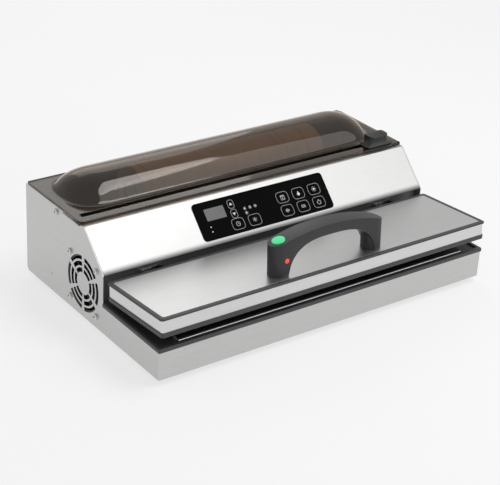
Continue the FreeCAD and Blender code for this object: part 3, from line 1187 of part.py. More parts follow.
def fan():
    """Square fan behind the grille: frame with a hub on struts, rotor on its shaft, four screws."""
    face = f"(-{INSIDE})"
    back = f"({face} + fan_depth)"
    axis = ("fan_y", FAN_Z)
    frame = block("fan_square", (face, back), about("fan_y", "fan_size"), about(FAN_Z, "fan_size"))
    frame = rounded("fan_corners", frame, "fan_corner", lambda e: runs_along(e, X_AXIS))
    past = (f"{face} - overrun", f"{back} + overrun")
    corners = [(f"fan_y {a} fan_pitch / 2", f"{FAN_Z} {b} fan_pitch / 2") for a in "+-" for b in "+-"]
    holes = [rod(f"fan_hole_{i}", "X", "screw_radius", at, past) for i, at in enumerate(corners)]
    open_frame = cut("fan_open", frame, rod("fan_bore_cut", "X", "fan_bore", axis, past), *holes)
    web = (f"{back} - fan_web", back)
    struts = [block("fan_strut_up", web, about("fan_y", "fan_strut"),
                    about(FAN_Z, "2 * fan_bore + overrun")),
              block("fan_strut_across", web, about("fan_y", "2 * fan_bore + overrun"),
                    about(FAN_Z, "fan_strut"))]
    hub = rod("fan_plate", "X", "fan_hub", axis, web)
    shaft = rod("fan_axle", "X", "fan_shaft", axis, (f"{back} - fan_web - rotor_depth + axle_gap", back))
    node("fan_frame", fuse("fan_frame_made", open_frame, *struts, hub, shaft))
    rotor_end = f"({back} - fan_web - side_gap)"
    rotor_start = f"({rotor_end} - rotor_depth)"
    cup = rod("rotor_hub", "X", "fan_hub", axis, (rotor_start, rotor_end))
    cup = rounded("rotor_nose", cup, "rotor_round", lambda e: at_level(e, "X", rotor_start))
    blades = [fan_blade(i,
                        f"({rotor_start} + {rotor_end}) / 2") for i in range(round(value("blade_count")))]
    bore = rod("rotor_bore", "X", "fan_shaft + running_fit", axis,
               (f"{rotor_start} + rotor_wall", f"{rotor_end} + overrun"))
    node("fan_rotor", cut("rotor_made", fuse("rotor_solid", cup, *blades), bore))
    group("fan_screws",
          [pan_screw(f"fan_screw_{i}", "X", at, f"-{SIDE}", -1) for i, at in enumerate(corners)])


def fan_blade(index, x):
    """One pitched blade, from inside the hub to the blade's reach."""
    plate = doc.addObject("Part::Box", f"blade_{index}")
    bind(plate, "Length", "blade_chord")
    bind(plate, "Width", "blade_thick")
    bind(plate, "Height", "blade_reach - fan_hub + blade_root")
    place(plate, "-blade_chord / 2", "-blade_thick / 2", "fan_hub - blade_root")
    pitched = fuse(f"blade_pitched_{index}", plate,
                   rod(f"blade_root_{index}", "Z", "blade_thick / 2", ("0", "0"),
                       ("fan_hub - root_depth", "fan_hub")))
    place(pitched, axis=Z_AXIS, angle="blade_twist")
    turned = doc.addObject("Part::Compound", f"blade_turned_{index}")
    turned.Links = [pitched]
    return place(turned, x, "fan_y", FAN_Z, X_AXIS, f"{index} * 360 / blade_count")


def pump():
    """Diaphragm pump with two heads, its motor and four rubber mounts."""
    x, y, z = about("pump_x", "pump_length"), about("pump_y", "pump_depth"), about(PUMP_Z, "pump_height")
    crank = rounded("crankcase", block("crankcase_block", x, y, z), "pump_round",
                    lambda e: runs_along(e, X_AXIS))
    front, back = f"({y[0]} - head_thick)", f"({y[1]} + head_thick)"
    heads = [rod("head_front", "Y", "head_disc", ("pump_x", PUMP_Z), (front, y[0])),
             rod("head_back", "Y", "head_disc", ("pump_x", PUMP_Z), (y[1], back))]
    barb = rod("pump_barb", "Y", "barb_radius", ("pump_x", PUMP_Z),
               (f"{front} - barb_length + overrun", front))
    shoe = block("pump_shoe", (f"{x[0]} - motor_length", x[1]), y,
                 (f"{LINING} + mount_height", f"{LINING} + mount_height + pump_foot"))
    hole = rod("pump_passage", "Y", "barb_radius - barb_wall", ("pump_x", PUMP_Z),
               (f"{front} - barb_length", f"{front} + passage"))
    node("vacuum_pump", cut("pump_made", fuse("pump_solid", crank, *heads, barb, shoe), hole))
    axis = ("pump_y", f"({LINING} + mount_height + pump_foot + motor_radius)")
    can_end = f"({x[0]} - motor_length + motor_cap)"
    can = rod("motor_can", "X", "motor_radius", axis, (can_end, x[0]))
    cap = rod("motor_end", "X", "motor_radius * 0.8", axis, (f"{x[0]} - motor_length", can_end))
    node("pump_motor", fuse("motor_made", can, cap))
    places = [(px, py) for px in (f"{x[0]} - motor_length + mount_rear", f"{x[1]} - mount_front")
              for py in (f"{y[0]} + mount_side", f"{y[1]} - mount_side")]
    group("pump_mounts", [rod(f"mount_{i}", "Z", "mount_radius", at, (LINING, f"{LINING} + mount_height"))
                          for i, at in enumerate(places)])


def transformer():
    """Laminated core with two windows and the winding on its middle leg."""
    x, y = about("core_x", "core_length"), about("core_y", "core_depth")
    z = (LINING, f"{LINING} + core_height")
    stack = block("core_stack", x, y, z)
    windows = [block(f"core_window_{i}",
                     about(f"core_x {s} core_length / 4", "core_length / 2 - 2 * core_leg"),
                     (f"{y[0]} - overrun", f"{y[1]} + overrun"),
                     (f"{z[0]} + core_leg", f"{z[1]} - core_leg"))
                           for i, s in enumerate("+-")]
    node("transformer_core", cut("core_made", stack, *windows))
    coil_x = about("core_x", "core_length - 2 * core_leg - 2 * fit")
    coil_z = (f"{z[0]} + core_leg + fit", f"{z[1]} - core_leg - fit")
    coil = rounded("coil_round",
                   block("coil", coil_x, (f"{y[0]} - coil_wall", f"{y[1]} + coil_wall"), coil_z),
                   "coil_round",
                   lambda e: runs_along(e, Z_AXIS))
    leg = block("coil_leg", about("core_x", "2 * core_leg + 2 * fit"), (f"{y[0]} - fit", f"{y[1]} + fit"),
                (z[0], z[1]))
    node("transformer_coil", cut("coil_made", coil, leg))


def release_valve():
    """Small solenoid valve with a nozzle at each end."""
    x, y = about("valve_x", "valve_length"), about("valve_y", "valve_depth")
    z = (LINING, f"{LINING} + valve_height")
    shell = rounded("valve_round", block("valve_block", x, y, z), "2", lambda e: runs_along(e, Z_AXIS))
    level = f"({LINING} + valve_height * 0.6)"
    nozzle = rod("valve_nozzles", "X", "valve_nozzle", ("valve_y", level), (f"{x[0]} - 10", f"{x[1]} + 10"))
    node("release_valve", fuse("valve_made", shell, nozzle))


def power_board():
    """Board on the floor with its relay, capacitor and cooling fins."""
    x, y = ("power_left", "power_right"), ("power_front", "power_back")
    low = f"({LINING} + power_stand)"
    top = f"({low} + board_thick)"
    legs = [rod(f"board_leg_{i}", "Z", "post_radius", at, (LINING, low))
            for i, at in enumerate(frame_corners(*inset((x, y), "5")))]
    relay = block("relay", ("power_left + 12", "power_left + 31"), ("power_front + 16", "power_front + 31"),
                  (top, f"{top} + 16"))
    smoother = rod("capacitor", "Z", "6", ("power_right - 30", "power_back - 18"), (top, f"{top} + 20"))
    fins = [block(f"fin_{i}", (f"power_left + {50 + 5 * i}", f"power_left + {52 + 5 * i}"),
                  ("power_front + 10", "power_front + 40"),
                  (f"{top} + 2", f"{top} + 18")) for i in range(5)]
    fin_foot = block("fin_foot", ("power_left + 48", "power_left + 74"),
                     ("power_front + 10", "power_front + 40"), (top, f"{top} + 3"))
    node("power_board",
         fuse("power_board_made", block("power_sheet", x, y, (low, top)), *legs, relay, smoother, *fins,
              fin_foot))


def power_inlet():
    """Three-pin inlet socket in the rear panel, with its pins and screws."""
    rise = "(foot_height + inlet_rise)"
    x, z = about("inlet_x", "inlet_width"), about(rise, "inlet_height")
    deep = f"({REAR} - inlet_depth)"
    flange = prism("inlet_flange", "XZ", lambda sk: rounded_box(
        sk, about("inlet_x", "flange_width"), about(rise, "flange_height"), "4"),
        (f"{REAR} - sheet - flange_thick", f"{REAR} - sheet"))
    can = block("inlet_can", x, (deep, REAR), z)
    room = block("inlet_room", *inset((x,), "inlet_wall"), (f"{deep} + inlet_floor", f"{REAR} + overrun"),
                 *inset((z,), "inlet_wall"))
    holes = [rod(f"inlet_hole_{i}", "Y", "screw_hole", (f"inlet_x {s} inlet_pitch / 2", rise),
                 (f"{REAR} - sheet - flange_thick - overrun", f"{REAR} + overrun"))
             for i, s in enumerate("+-")]
    slits = [block(f"inlet_slit_{i}", *ends) for i, ends in enumerate(pin_blocks(deep, rise))]
    node("power_inlet", cut("inlet_made", fuse("inlet_solid", flange, can), room, *holes, *slits))
    group("inlet_pins", [block(f"inlet_pin_{i}", *ends) for i, ends in enumerate(pin_blocks(deep, rise))])
    group("inlet_screws",
          [pan_screw(f"inlet_screw_{i}", "Y", (f"inlet_x {s} inlet_pitch / 2", rise), REAR, 1)
                           for i, s in enumerate("+-")])


def pin_blocks(deep, rise):
    """Extents of the three flat pins of the inlet."""
    places = (("-7", "0"), ("7", "0"), ("0", "4"))
    return [(about(f"inlet_x + {dx}", "2"), (f"{deep} - 6", f"{REAR} - 4"),
             about(f"{rise} + {dz}", "4")) for dx, dz in places]


def write_parts():
    """Checks every object and writes each piece to its own file."""
    doc.recompute()
    bad = [thing.Label for thing in doc.Objects if {"Invalid", "Error"} & set(thing.State)]
    bad += [name for name, thing in nodes.items() if thing.Shape.isNull() or not thing.Shape.isValid()]
    bad += [name for name, thing in nodes.items() if not thing.Shape.Solids]
    if bad:
        raise RuntimeError("pieces that failed: " + ", ".join(bad))
    os.makedirs("parts", exist_ok=True)
    for name, thing in nodes.items():
        thing.Shape.exportStep(os.path.join("parts", name + ".step"))


def build():
    main_case()
    feet()
    rear_panel()
    control_fascia()
    control_panel()
    hinge_wall()
    chamber_tray()
    sealing_parts()
    suction_port()
    suction_hose()
    lid_top()
    lid_sides()
    lid_seals()
    lid_hinges()
    handle()
    start_button()
    roll_cover()
    cutter_rail()
    cutter()
    roll_trough()
    film_roll()
    fan()
    pump()
    transformer()
    release_valve()
    power_board()
    power_inlet()
    write_parts()


build()
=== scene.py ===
"""Finished looks of a vacuum sealer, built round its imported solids."""
import json
import math

import bmesh
import bpy
from mathutils import Matrix, Vector


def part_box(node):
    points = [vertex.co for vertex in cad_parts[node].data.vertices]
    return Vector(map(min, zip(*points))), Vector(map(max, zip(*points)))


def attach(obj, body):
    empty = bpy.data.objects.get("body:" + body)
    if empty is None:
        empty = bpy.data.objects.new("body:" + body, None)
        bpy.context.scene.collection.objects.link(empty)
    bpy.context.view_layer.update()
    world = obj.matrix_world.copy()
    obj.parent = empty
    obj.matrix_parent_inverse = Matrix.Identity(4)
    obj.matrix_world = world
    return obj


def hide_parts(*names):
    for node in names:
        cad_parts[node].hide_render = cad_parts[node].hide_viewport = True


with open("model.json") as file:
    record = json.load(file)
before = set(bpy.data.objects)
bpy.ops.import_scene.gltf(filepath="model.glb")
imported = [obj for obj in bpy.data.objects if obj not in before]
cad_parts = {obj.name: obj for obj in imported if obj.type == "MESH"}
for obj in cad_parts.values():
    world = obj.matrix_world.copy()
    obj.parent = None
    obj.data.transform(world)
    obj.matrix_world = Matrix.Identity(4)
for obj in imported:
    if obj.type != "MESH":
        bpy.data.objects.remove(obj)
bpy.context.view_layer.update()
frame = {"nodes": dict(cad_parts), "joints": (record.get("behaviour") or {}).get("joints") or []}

bl_info = {
    "name": "Vacuum Sealer",
    "version": (1, 0, 0),
    "blender": (4, 5, 0),
    "location": "View3D > Sidebar > Sealer",
    "description": "Dresses the solids of a countertop vacuum sealer and lights them as a studio picture",
    "category": "Object",
}

MM = 0.001
nodes = frame["nodes"]
joints = {joint["name"]: joint for joint in frame["joints"]}

# The lid stands a little open at rest, so what is drawn on a level lid is turned about its hinge
HINGE = Vector(joints["lid_hinge"]["pos_m"])
LID_AJAR = math.radians(-joints["lid_hinge"]["range_deg"][0])
LID_LEAN = Matrix.Translation(HINGE) @ Matrix.Rotation(-LID_AJAR, 4, "X") @ Matrix.Translation(-HINGE)
LEVEL_LID_TOP = 78.4 * MM
COVER_HINGE = Vector(joints["cover_hinge"]["pos_m"])
ROLL_AXIS = Vector(joints["roll_spin"]["pos_m"])
ALONG_X = Matrix.Rotation(math.pi / 2, 4, "Y")
ALONG_Y = Matrix.Rotation(math.pi / 2, 4, "X")
SLOPE_TOP = Vector((0, 12 * MM, 127.5 * MM))
SLOPE_FOOT = Vector((0, -32 * MM, 83.2 * MM))
DOWN_SLOPE = (SLOPE_FOOT - SLOPE_TOP).normalized()
OFF_SLOPE = DOWN_SLOPE.cross(Vector((1, 0, 0))).normalized()


# Settings a user would change
def length(name, description, default):
    return bpy.props.FloatProperty(name=name, description=description, default=default, subtype="DISTANCE",
                                   unit="LENGTH", precision=5)


def tint(name, description, default):
    return bpy.props.FloatVectorProperty(name=name, description=description, default=default, subtype="COLOR",
                                         size=3, min=0.0, max=1.0)


class SealerColours(bpy.types.PropertyGroup):
    """Colours of the sealer's finishes"""
    steel: tint("Steel", "Brushed stainless steel of the case", (0.55, 0.55, 0.545))
    # The case and the slope are one brushed steel; each has its own colour, set to how brightly its faces
    # show: painted light and shade.
    fascia: tint("Fascia", "Brushed stainless steel of the slope", (0.52, 0.52, 0.515))
    lid_steel: tint("Lid steel", "Brushed stainless steel of the lid", (0.66, 0.66, 0.655))
    dark_plastic: tint("Dark plastic", "Lid frame and chamber rims", (0.045, 0.045, 0.047))
    handle: tint("Handle", "Lid handle", (0.020, 0.020, 0.021))
    black_plastic: tint("Black plastic", "Cutter, fan and roll trough", (0.012, 0.012, 0.012))
    panel: tint("Panel", "Gloss overlay of the controls", (0.002, 0.002, 0.002))
    window: tint("Window", "Display window of the controls", (0.17, 0.172, 0.175))
    marks: tint("Marks", "Printed symbols of the controls", (0.80, 0.80, 0.80))
    outlines: tint("Outlines", "Printed key outlines of the controls", (0.36, 0.365, 0.37))
    smoke: tint("Smoke", "Tinted clear plastic of the roll cover", (0.29, 0.205, 0.130))
    film: tint("Film", "Wound bag film", (0.66, 0.59, 0.50))
    button: tint("Button", "Start button", (0.035, 0.74, 0.28))
    lamp: tint("Lamp", "Seal lamp", (0.80, 0.06, 0.018))
    floor: tint("Floor", "Studio floor", (0.93, 0.93, 0.93))


class SealerSizes(bpy.types.PropertyGroup):
    """Sizes of the details that are drawn here"""
    steel_edge: length("Steel edge", "Rounding of the bent sheet's edges", 0.0006)
    plastic_edge: length("Plastic edge", "Rounding of moulded edges", 0.0009)
    dome_fillet: length("Dome fillet", "Hollow where the dome meets its plate", 0.006)
    # The slope's colour darkens over this height: painted shade for the bend at its foot.
    foot_shade_height: length("Foot bend", "Height over which the slope darkens into its bent foot", 0.0062)
    key_line: length("Key line", "Width of the printed key outlines", 0.0007)
    print_relief: length("Print relief", "Depth of the grain of printed and glossy faces", 0.000002)
    print_height: length("Print height", "How far printed symbols stand above the panel", 0.00012)


# Shader node groups
def new_group(name, inputs, outputs):
    """Empty node group with the named sockets."""
    group = bpy.data.node_groups.new(name, "ShaderNodeTree")
    for socket, kind, default in inputs:
        made = group.interface.new_socket(socket, in_out="INPUT", socket_type=kind)
        made.default_value = default
    for socket, kind in outputs:
        group.interface.new_socket(socket, in_out="OUTPUT", socket_type=kind)
    return group, group.nodes.new("NodeGroupInput"), group.nodes.new("NodeGroupOutput")


def add(tree, kind, links=(), **settings):
    """New node with its properties and socket values set; links pairs an input with an output socket."""
    made = tree.nodes.new(kind)
    for key, value in settings.items():
        setattr(made, key, value)
    for socket, source in links:
        if hasattr(source, "is_linked"):
            tree.links.new(source, made.inputs[socket])
        else:
            made.inputs[socket].default_value = source
    return made


def spread(tree, value, low, high):
    """Value between 0.3 and 0.7 stretched from low to high."""
    return add(tree, "ShaderNodeMapRange", [(0, value), (1, 0.3), (2, 0.7), (3, low), (4, high)]).outputs[0]


def scaled(tree, vector, scale):
    return add(tree, "ShaderNodeMapping", [("Vector", vector), ("Scale", scale)]).outputs[0]


def noise(tree, vector, scale, detail=2.0):
    look = [("Vector", vector), ("Scale", scale), ("Detail", detail)]
    return add(tree, "ShaderNodeTexNoise", look).outputs[0]


def math_node(tree, operation, first, second):
    return add(tree, "ShaderNodeMath", [(0, first), (1, second)], operation=operation).outputs[0]


def shade_of(tree, colour, value):
    """Colour with its brightness multiplied by a value."""
    grey = add(tree, "ShaderNodeCombineColor", [(0, value), (1, value), (2, value)]).outputs[0]
    mixed = add(tree, "ShaderNodeMix", data_type="RGBA", blend_type="MULTIPLY")
    mixed.inputs[0].default_value = 1.0
    tree.links.new(colour, mixed.inputs[6])
    tree.links.new(grey, mixed.inputs[7])
    return mixed.outputs[2]


def brushed_grain():
    """Fine and coarse scratches of a brushed sheet; the vector comes in stretched along the grain."""
    group, given, made = new_group("Brushed Grain", [
        ("Vector", "NodeSocketVector", (0, 0, 0)), ("Color", "NodeSocketColor", (0.6, 0.6, 0.6, 1)),
        ("Contrast", "NodeSocketFloat", 0.12), ("Roughness", "NodeSocketFloat", 0.32)],
        [("Color", "NodeSocketColor"), ("Roughness", "NodeSocketFloat"), ("Height", "NodeSocketFloat")])
    coarse = noise(group, given.outputs["Vector"], 1.0, 3.0)
    fine = noise(group, given.outputs["Vector"], 3.7, 2.0)
    both = math_node(group, "MULTIPLY", math_node(group, "ADD", coarse, fine), 0.5)
    swing = math_node(group, "MULTIPLY", math_node(group, "SUBTRACT", both, 0.5), given.outputs["Contrast"])
    level = math_node(group, "ADD", math_node(group, "MULTIPLY", swing, 4.0), 1.0)
    group.links.new(shade_of(group, given.outputs["Color"], level), made.inputs["Color"])
    rough = math_node(group, "ADD", given.outputs["Roughness"], math_node(group, "MULTIPLY", swing, 1.5))
    group.links.new(rough, made.inputs["Roughness"])
    group.links.new(both, made.inputs["Height"])
    return group


def moulded_grain():
    """Spark-eroded texture and slow colour change of moulded plastic or rubber."""
    group, given, made = new_group("Moulded Grain", [
        ("Vector", "NodeSocketVector", (0, 0, 0)), ("Color", "NodeSocketColor", (0.1, 0.1, 0.1, 1)),
        ("Scale", "NodeSocketFloat", 1400.0), ("Contrast", "NodeSocketFloat", 0.25),
        ("Roughness", "NodeSocketFloat", 0.5)],
        [("Color", "NodeSocketColor"), ("Roughness", "NodeSocketFloat"), ("Height", "NodeSocketFloat")])
    grain = noise(group, given.outputs["Vector"], given.outputs["Scale"], 2.0)
    slow = noise(group, given.outputs["Vector"], 22.0, 3.0)
    swing = math_node(group, "MULTIPLY", math_node(group, "SUBTRACT", slow, 0.5), given.outputs["Contrast"])
    speck = math_node(group, "MULTIPLY", math_node(group, "SUBTRACT", grain, 0.5), given.outputs["Contrast"])
    level = math_node(group, "ADD", math_node(group, "ADD", swing, speck), 1.0)
    group.links.new(shade_of(group, given.outputs["Color"], level), made.inputs["Color"])
    rough = math_node(group, "ADD", given.outputs["Roughness"], math_node(group, "MULTIPLY", swing, 0.5))
    group.links.new(rough, made.inputs["Roughness"])
    group.links.new(grain, made.inputs["Height"])
    return group


def edge_wear():
    """Lightens a colour where the rounded normal leaves the flat one, as handling does along edges."""
    group, given, made = new_group("Edge Wear", [
        ("Color", "NodeSocketColor", (0.1, 0.1, 0.1, 1)), ("Rounded", "NodeSocketVector", (0, 0, 1)),
        ("Amount", "NodeSocketFloat", 0.4)], [("Color", "NodeSocketColor")])
    flat = group.nodes.new("ShaderNodeNewGeometry")
    sides = [(0, flat.outputs["True Normal"]), (1, given.outputs["Rounded"])]
    turn = add(group, "ShaderNodeVectorMath", sides, operation="DOT_PRODUCT").outputs["Value"]
    limits = [(1, 0.98), (2, 0.80), (3, 0.0), (4, 1.0)]
    edge = add(group, "ShaderNodeMapRange", [(0, turn), *limits]).outputs[0]
    level = math_node(group, "ADD", math_node(group, "MULTIPLY", edge, given.outputs["Amount"]), 1.0)
    group.links.new(shade_of(group, given.outputs["Color"], level), made.inputs["Color"])
    return group


# Finishes
shared = {}
# How dark the painted shade at the slope's foot gets, as a share of its colour
FOOT_SHADE = 0.16


def blank(name):
    """New material with its tree, its shader and the object's own coordinates."""
    material = bpy.data.materials.new(name)
    material.use_nodes = True
    tree = material.node_tree
    coords = add(tree, "ShaderNodeTexCoord").outputs["Object"]
    return material, tree, tree.nodes["Principled BSDF"], coords


def round_and_bump(tree, shader, edge, height, depth):
    """Rounds the shading along hard edges and adds the grain's relief."""
    rounded = add(tree, "ShaderNodeBevel", [("Radius", edge)], samples=6).outputs[0]
    relief = [("Height", height), ("Normal", rounded), ("Strength", 1.0), ("Distance", depth)]
    bump = add(tree, "ShaderNodeBump", relief)
    tree.links.new(bump.outputs[0], shader.inputs["Normal"])
    return rounded


def steel_finish(name, colour, along, roughness=0.30, contrast=0.10, depth=0.000004, edge=0.0006):
    """Brushed metal; along is the stretch of the grain on each axis."""
    material, tree, shader, coords = blank(name)
    look = [("Vector", scaled(tree, coords, along)), ("Color", (*colour, 1)), ("Contrast", contrast),
            ("Roughness", roughness)]
    grain = add(tree, "ShaderNodeGroup", look, node_tree=shared["grain"])
    shader.inputs["Metallic"].default_value = 1.0
    tree.links.new(grain.outputs["Color"], shader.inputs["Base Color"])
    tree.links.new(grain.outputs["Roughness"], shader.inputs["Roughness"])
    round_and_bump(tree, shader, edge, grain.outputs["Height"], depth)
    return material


def painted_foot_shade(material, foot, top, least):
    """Darkens a sheet's colour towards its foot: painted shade that stands in for the bend there."""
    tree = material.node_tree
    shader = tree.nodes["Principled BSDF"]
    coords = add(tree, "ShaderNodeTexCoord").outputs["Object"]
    height = add(tree, "ShaderNodeSeparateXYZ", [(0, coords)]).outputs["Z"]
    limits = [(0, height), (1, foot), (2, top), (3, least), (4, 1.0)]
    level = add(tree, "ShaderNodeMapRange", limits, interpolation_type="SMOOTHSTEP").outputs[0]
    brushed = shader.inputs["Base Color"].links[0].from_socket
    tree.links.new(shade_of(tree, brushed, level), shader.inputs["Base Color"])
    return material


def moulded_finish(name, colour, scale=1400.0, contrast=0.25, roughness=0.5, depth=0.00002, edge=0.0009,
                   wear=0.35, metallic=0.0, specular=0.5):
    """Moulded plastic, rubber, paint or board with a grained skin and handled edges."""
    material, tree, shader, coords = blank(name)
    look = [("Vector", coords), ("Color", (*colour, 1)), ("Scale", scale), ("Contrast", contrast),
            ("Roughness", roughness)]
    grain = add(tree, "ShaderNodeGroup", look, node_tree=shared["mould"])
    rounded = round_and_bump(tree, shader, edge, grain.outputs["Height"], depth)
    handled = [("Color", grain.outputs["Color"]), ("Rounded", rounded), ("Amount", wear)]
    worn = add(tree, "ShaderNodeGroup", handled, node_tree=shared["wear"])
    tree.links.new(worn.outputs["Color"], shader.inputs["Base Color"])
    tree.links.new(grain.outputs["Roughness"], shader.inputs["Roughness"])
    shader.inputs["Metallic"].default_value = metallic
    shader.inputs["Specular IOR Level"].default_value = specular
    return material


def lamp_and_painted_glow_finish(name, colour, glow):
    """Clear coloured plastic that glows in its own colour: lit from behind in the seal lamp, a painted glow
    on the start button.
    """
    material = moulded_finish(name, colour, contrast=0.12, roughness=0.28, depth=0.000004, wear=0.15)
    shader = material.node_tree.nodes["Principled BSDF"]
    shader.inputs["Emission Color"].default_value = (*colour, 1)
    shader.inputs["Emission Strength"].default_value = glow
    shader.inputs["Coat Weight"].default_value = 0.1
    return material


def smoked_finish(name, colour):
    """Tinted clear plastic; light passes to what lies under it."""
    material, tree, shader, coords = blank(name)
    haze = noise(tree, coords, 35.0, 3.0)
    shader.inputs["Base Color"].default_value = (*colour, 1)
    shader.inputs["Transmission Weight"].default_value = 0.985
    shader.inputs["IOR"].default_value = 1.52
    shader.inputs["Specular IOR Level"].default_value = 0.25
    tree.links.new(spread(tree, haze, 0.03, 0.07), shader.inputs["Roughness"])
    passing = add(tree, "ShaderNodeBsdfTransparent", [("Color", (*(part ** 0.5 for part in colour), 1))])
    path = tree.nodes.new("ShaderNodeLightPath")
    unseen = math_node(tree, "MAXIMUM", path.outputs["Is Shadow Ray"], path.outputs["Is Diffuse Ray"])
    mixed = add(tree, "ShaderNodeMixShader", [(0, unseen), (1, shader.outputs[0]), (2, passing.outputs[0])])
    tree.links.new(mixed.outputs[0], tree.nodes["Material Output"].inputs["Surface"])
    return material


def wound_finish(name, colour):
    """Wound film: fine rings on the ends and faint bands round the roll."""
    material, tree, shader, coords = blank(name)
    bands = noise(tree, scaled(tree, coords, (160.0, 6.0, 6.0)), 1.0, 4.0)
    to_axis = [("Vector", coords), ("Location", (0, -ROLL_AXIS.y, -ROLL_AXIS.z))]
    apart = add(tree, "ShaderNodeSeparateXYZ", [(0, add(tree, "ShaderNodeMapping", to_axis).outputs[0])])
    ring = add(tree, "ShaderNodeCombineXYZ", [(1, apart.outputs[1]), (2, apart.outputs[2])]).outputs[0]
    radius = add(tree, "ShaderNodeVectorMath", [(0, ring)], operation="LENGTH").outputs["Value"]
    turns = math_node(tree, "MULTIPLY", radius, 9000.0)
    layers = add(tree, "ShaderNodeMath", [(0, turns)], operation="SINE").outputs[0]
    faint = math_node(tree, "MULTIPLY", layers, 0.04)
    level = math_node(tree, "ADD", spread(tree, bands, 0.98, 1.02), faint)
    given = add(tree, "ShaderNodeRGB")
    given.outputs[0].default_value = (*colour, 1)
    tree.links.new(shade_of(tree, given.outputs[0], level), shader.inputs["Base Color"])
    tree.links.new(spread(tree, bands, 0.24, 0.40), shader.inputs["Roughness"])
    bump = add(tree, "ShaderNodeBump", [("Height", bands), ("Strength", 1.0), ("Distance", 0.00004)])
    tree.links.new(bump.outputs[0], shader.inputs["Normal"])
    shader.inputs["Coat Weight"].default_value = 0.3
    return material


def make_finishes(colours, sizes):
    """Every finish, by the name of what wears it."""
    shared.update(grain=brushed_grain(), mould=moulded_grain(), wear=edge_wear())

    def own(name):
        return tuple(getattr(colours, name))

    bent, moulded, printed = sizes.steel_edge, sizes.plastic_edge, sizes.print_relief
    level, cross, turned = (18.0, 18.0, 1500.0), (18.0, 1500.0, 1500.0), (400.0, 400.0, 400.0)
    # The slope wears its own copy of the case steel, its colour set apart as painted shade.
    fascia = steel_finish("fascia_steel", own("fascia"), cross, edge=bent)
    return {
        "case": steel_finish("case_steel", own("steel"), level, edge=bent),
        # The slope's colour darkens towards its foot as painted shade.
        "fascia": painted_foot_shade(fascia, SLOPE_FOOT.z, SLOPE_FOOT.z + sizes.foot_shade_height, FOOT_SHADE),
        "lid_plate": steel_finish("lid_plate_steel", own("lid_steel"), cross, roughness=0.33, edge=bent),
        "lid_band": steel_finish("lid_band_steel", own("lid_steel"), level, edge=bent),
        "turned": steel_finish("turned_steel", (0.62, 0.62, 0.61), turned, roughness=0.22, edge=0.0002),
        "brass": steel_finish("turned_brass", (0.72, 0.53, 0.22), (300.0, 300.0, 300.0), roughness=0.28,
                              edge=0.0002),
        "aluminium": steel_finish("bar_aluminium", (0.75, 0.75, 0.76), level, roughness=0.34),
        # The hinge wall's grey is kept lighter than its dark paint: painted light where it lies in the
        # fascia's shade.
        "dark_sheet": moulded_finish("painted_sheet", (0.16, 0.16, 0.162), roughness=0.34, contrast=0.2,
                                     wear=0.2),
        "dark_plastic": moulded_finish("dark_plastic", own("dark_plastic"), roughness=0.46, edge=moulded),
        "handle": moulded_finish("handle_plastic", own("handle"), roughness=0.40, edge=moulded),
        "black_plastic": moulded_finish("black_plastic", own("black_plastic"), roughness=0.42, edge=moulded,
                                        wear=0.6),
        "panel": moulded_finish("panel_gloss", own("panel"), scale=600.0, roughness=0.22, depth=printed,
                                edge=0.0004, wear=0.5, specular=0.02),
        "window": moulded_finish("window_gloss", own("window"), scale=900.0, roughness=0.20, depth=printed,
                                 edge=0.0003, wear=0.2, specular=0.2),
        "marks": moulded_finish("printed_marks", own("marks"), contrast=0.08, depth=printed, wear=0.0),
        "outlines": moulded_finish("printed_outlines", own("outlines"), contrast=0.10, roughness=0.4,
                                   depth=printed, wear=0.0),
        "smoked": smoked_finish("smoked_cover", own("smoke")),
        "film": wound_finish("wound_film", own("film")),
        "card": moulded_finish("card_core", (0.36, 0.24, 0.14), scale=700.0, contrast=0.5, roughness=0.85,
                               wear=0.2),
        # The start button's faint glow is painted light.
        "button": lamp_and_painted_glow_finish("button_green", own("button"), 0.06),
        "lamp": lamp_and_painted_glow_finish("lamp_red", own("lamp"), 0.5),
        "foam": moulded_finish("gasket_foam", (0.035, 0.035, 0.036), scale=1800.0, contrast=0.7,
                               roughness=0.9, depth=0.0001, wear=0.2),
        "feet": moulded_finish("feet_rubber", (0.028, 0.028, 0.028), contrast=0.4, roughness=0.75, wear=0.3),
        "silicone": moulded_finish("press_silicone", (0.05, 0.05, 0.052), roughness=0.6, wear=0.2),
        "nonstick": moulded_finish("nonstick_cloth", (0.020, 0.018, 0.016), scale=1100.0, contrast=0.5,
                                   roughness=0.45, wear=0.1),
        "board": moulded_finish("board_lacquer", (0.018, 0.16, 0.055), scale=500.0, contrast=0.5,
                                roughness=0.35),
        "pump": moulded_finish("pump_paint", (0.28, 0.29, 0.30), contrast=0.3, roughness=0.4, wear=0.5,
                               metallic=0.4),
        "iron": moulded_finish("core_iron", (0.14, 0.14, 0.145), scale=400.0, contrast=0.6, roughness=0.6,
                               metallic=0.8),
        "coil": moulded_finish("coil_tape", (0.58, 0.42, 0.07), scale=250.0, contrast=0.3, roughness=0.4),
    }


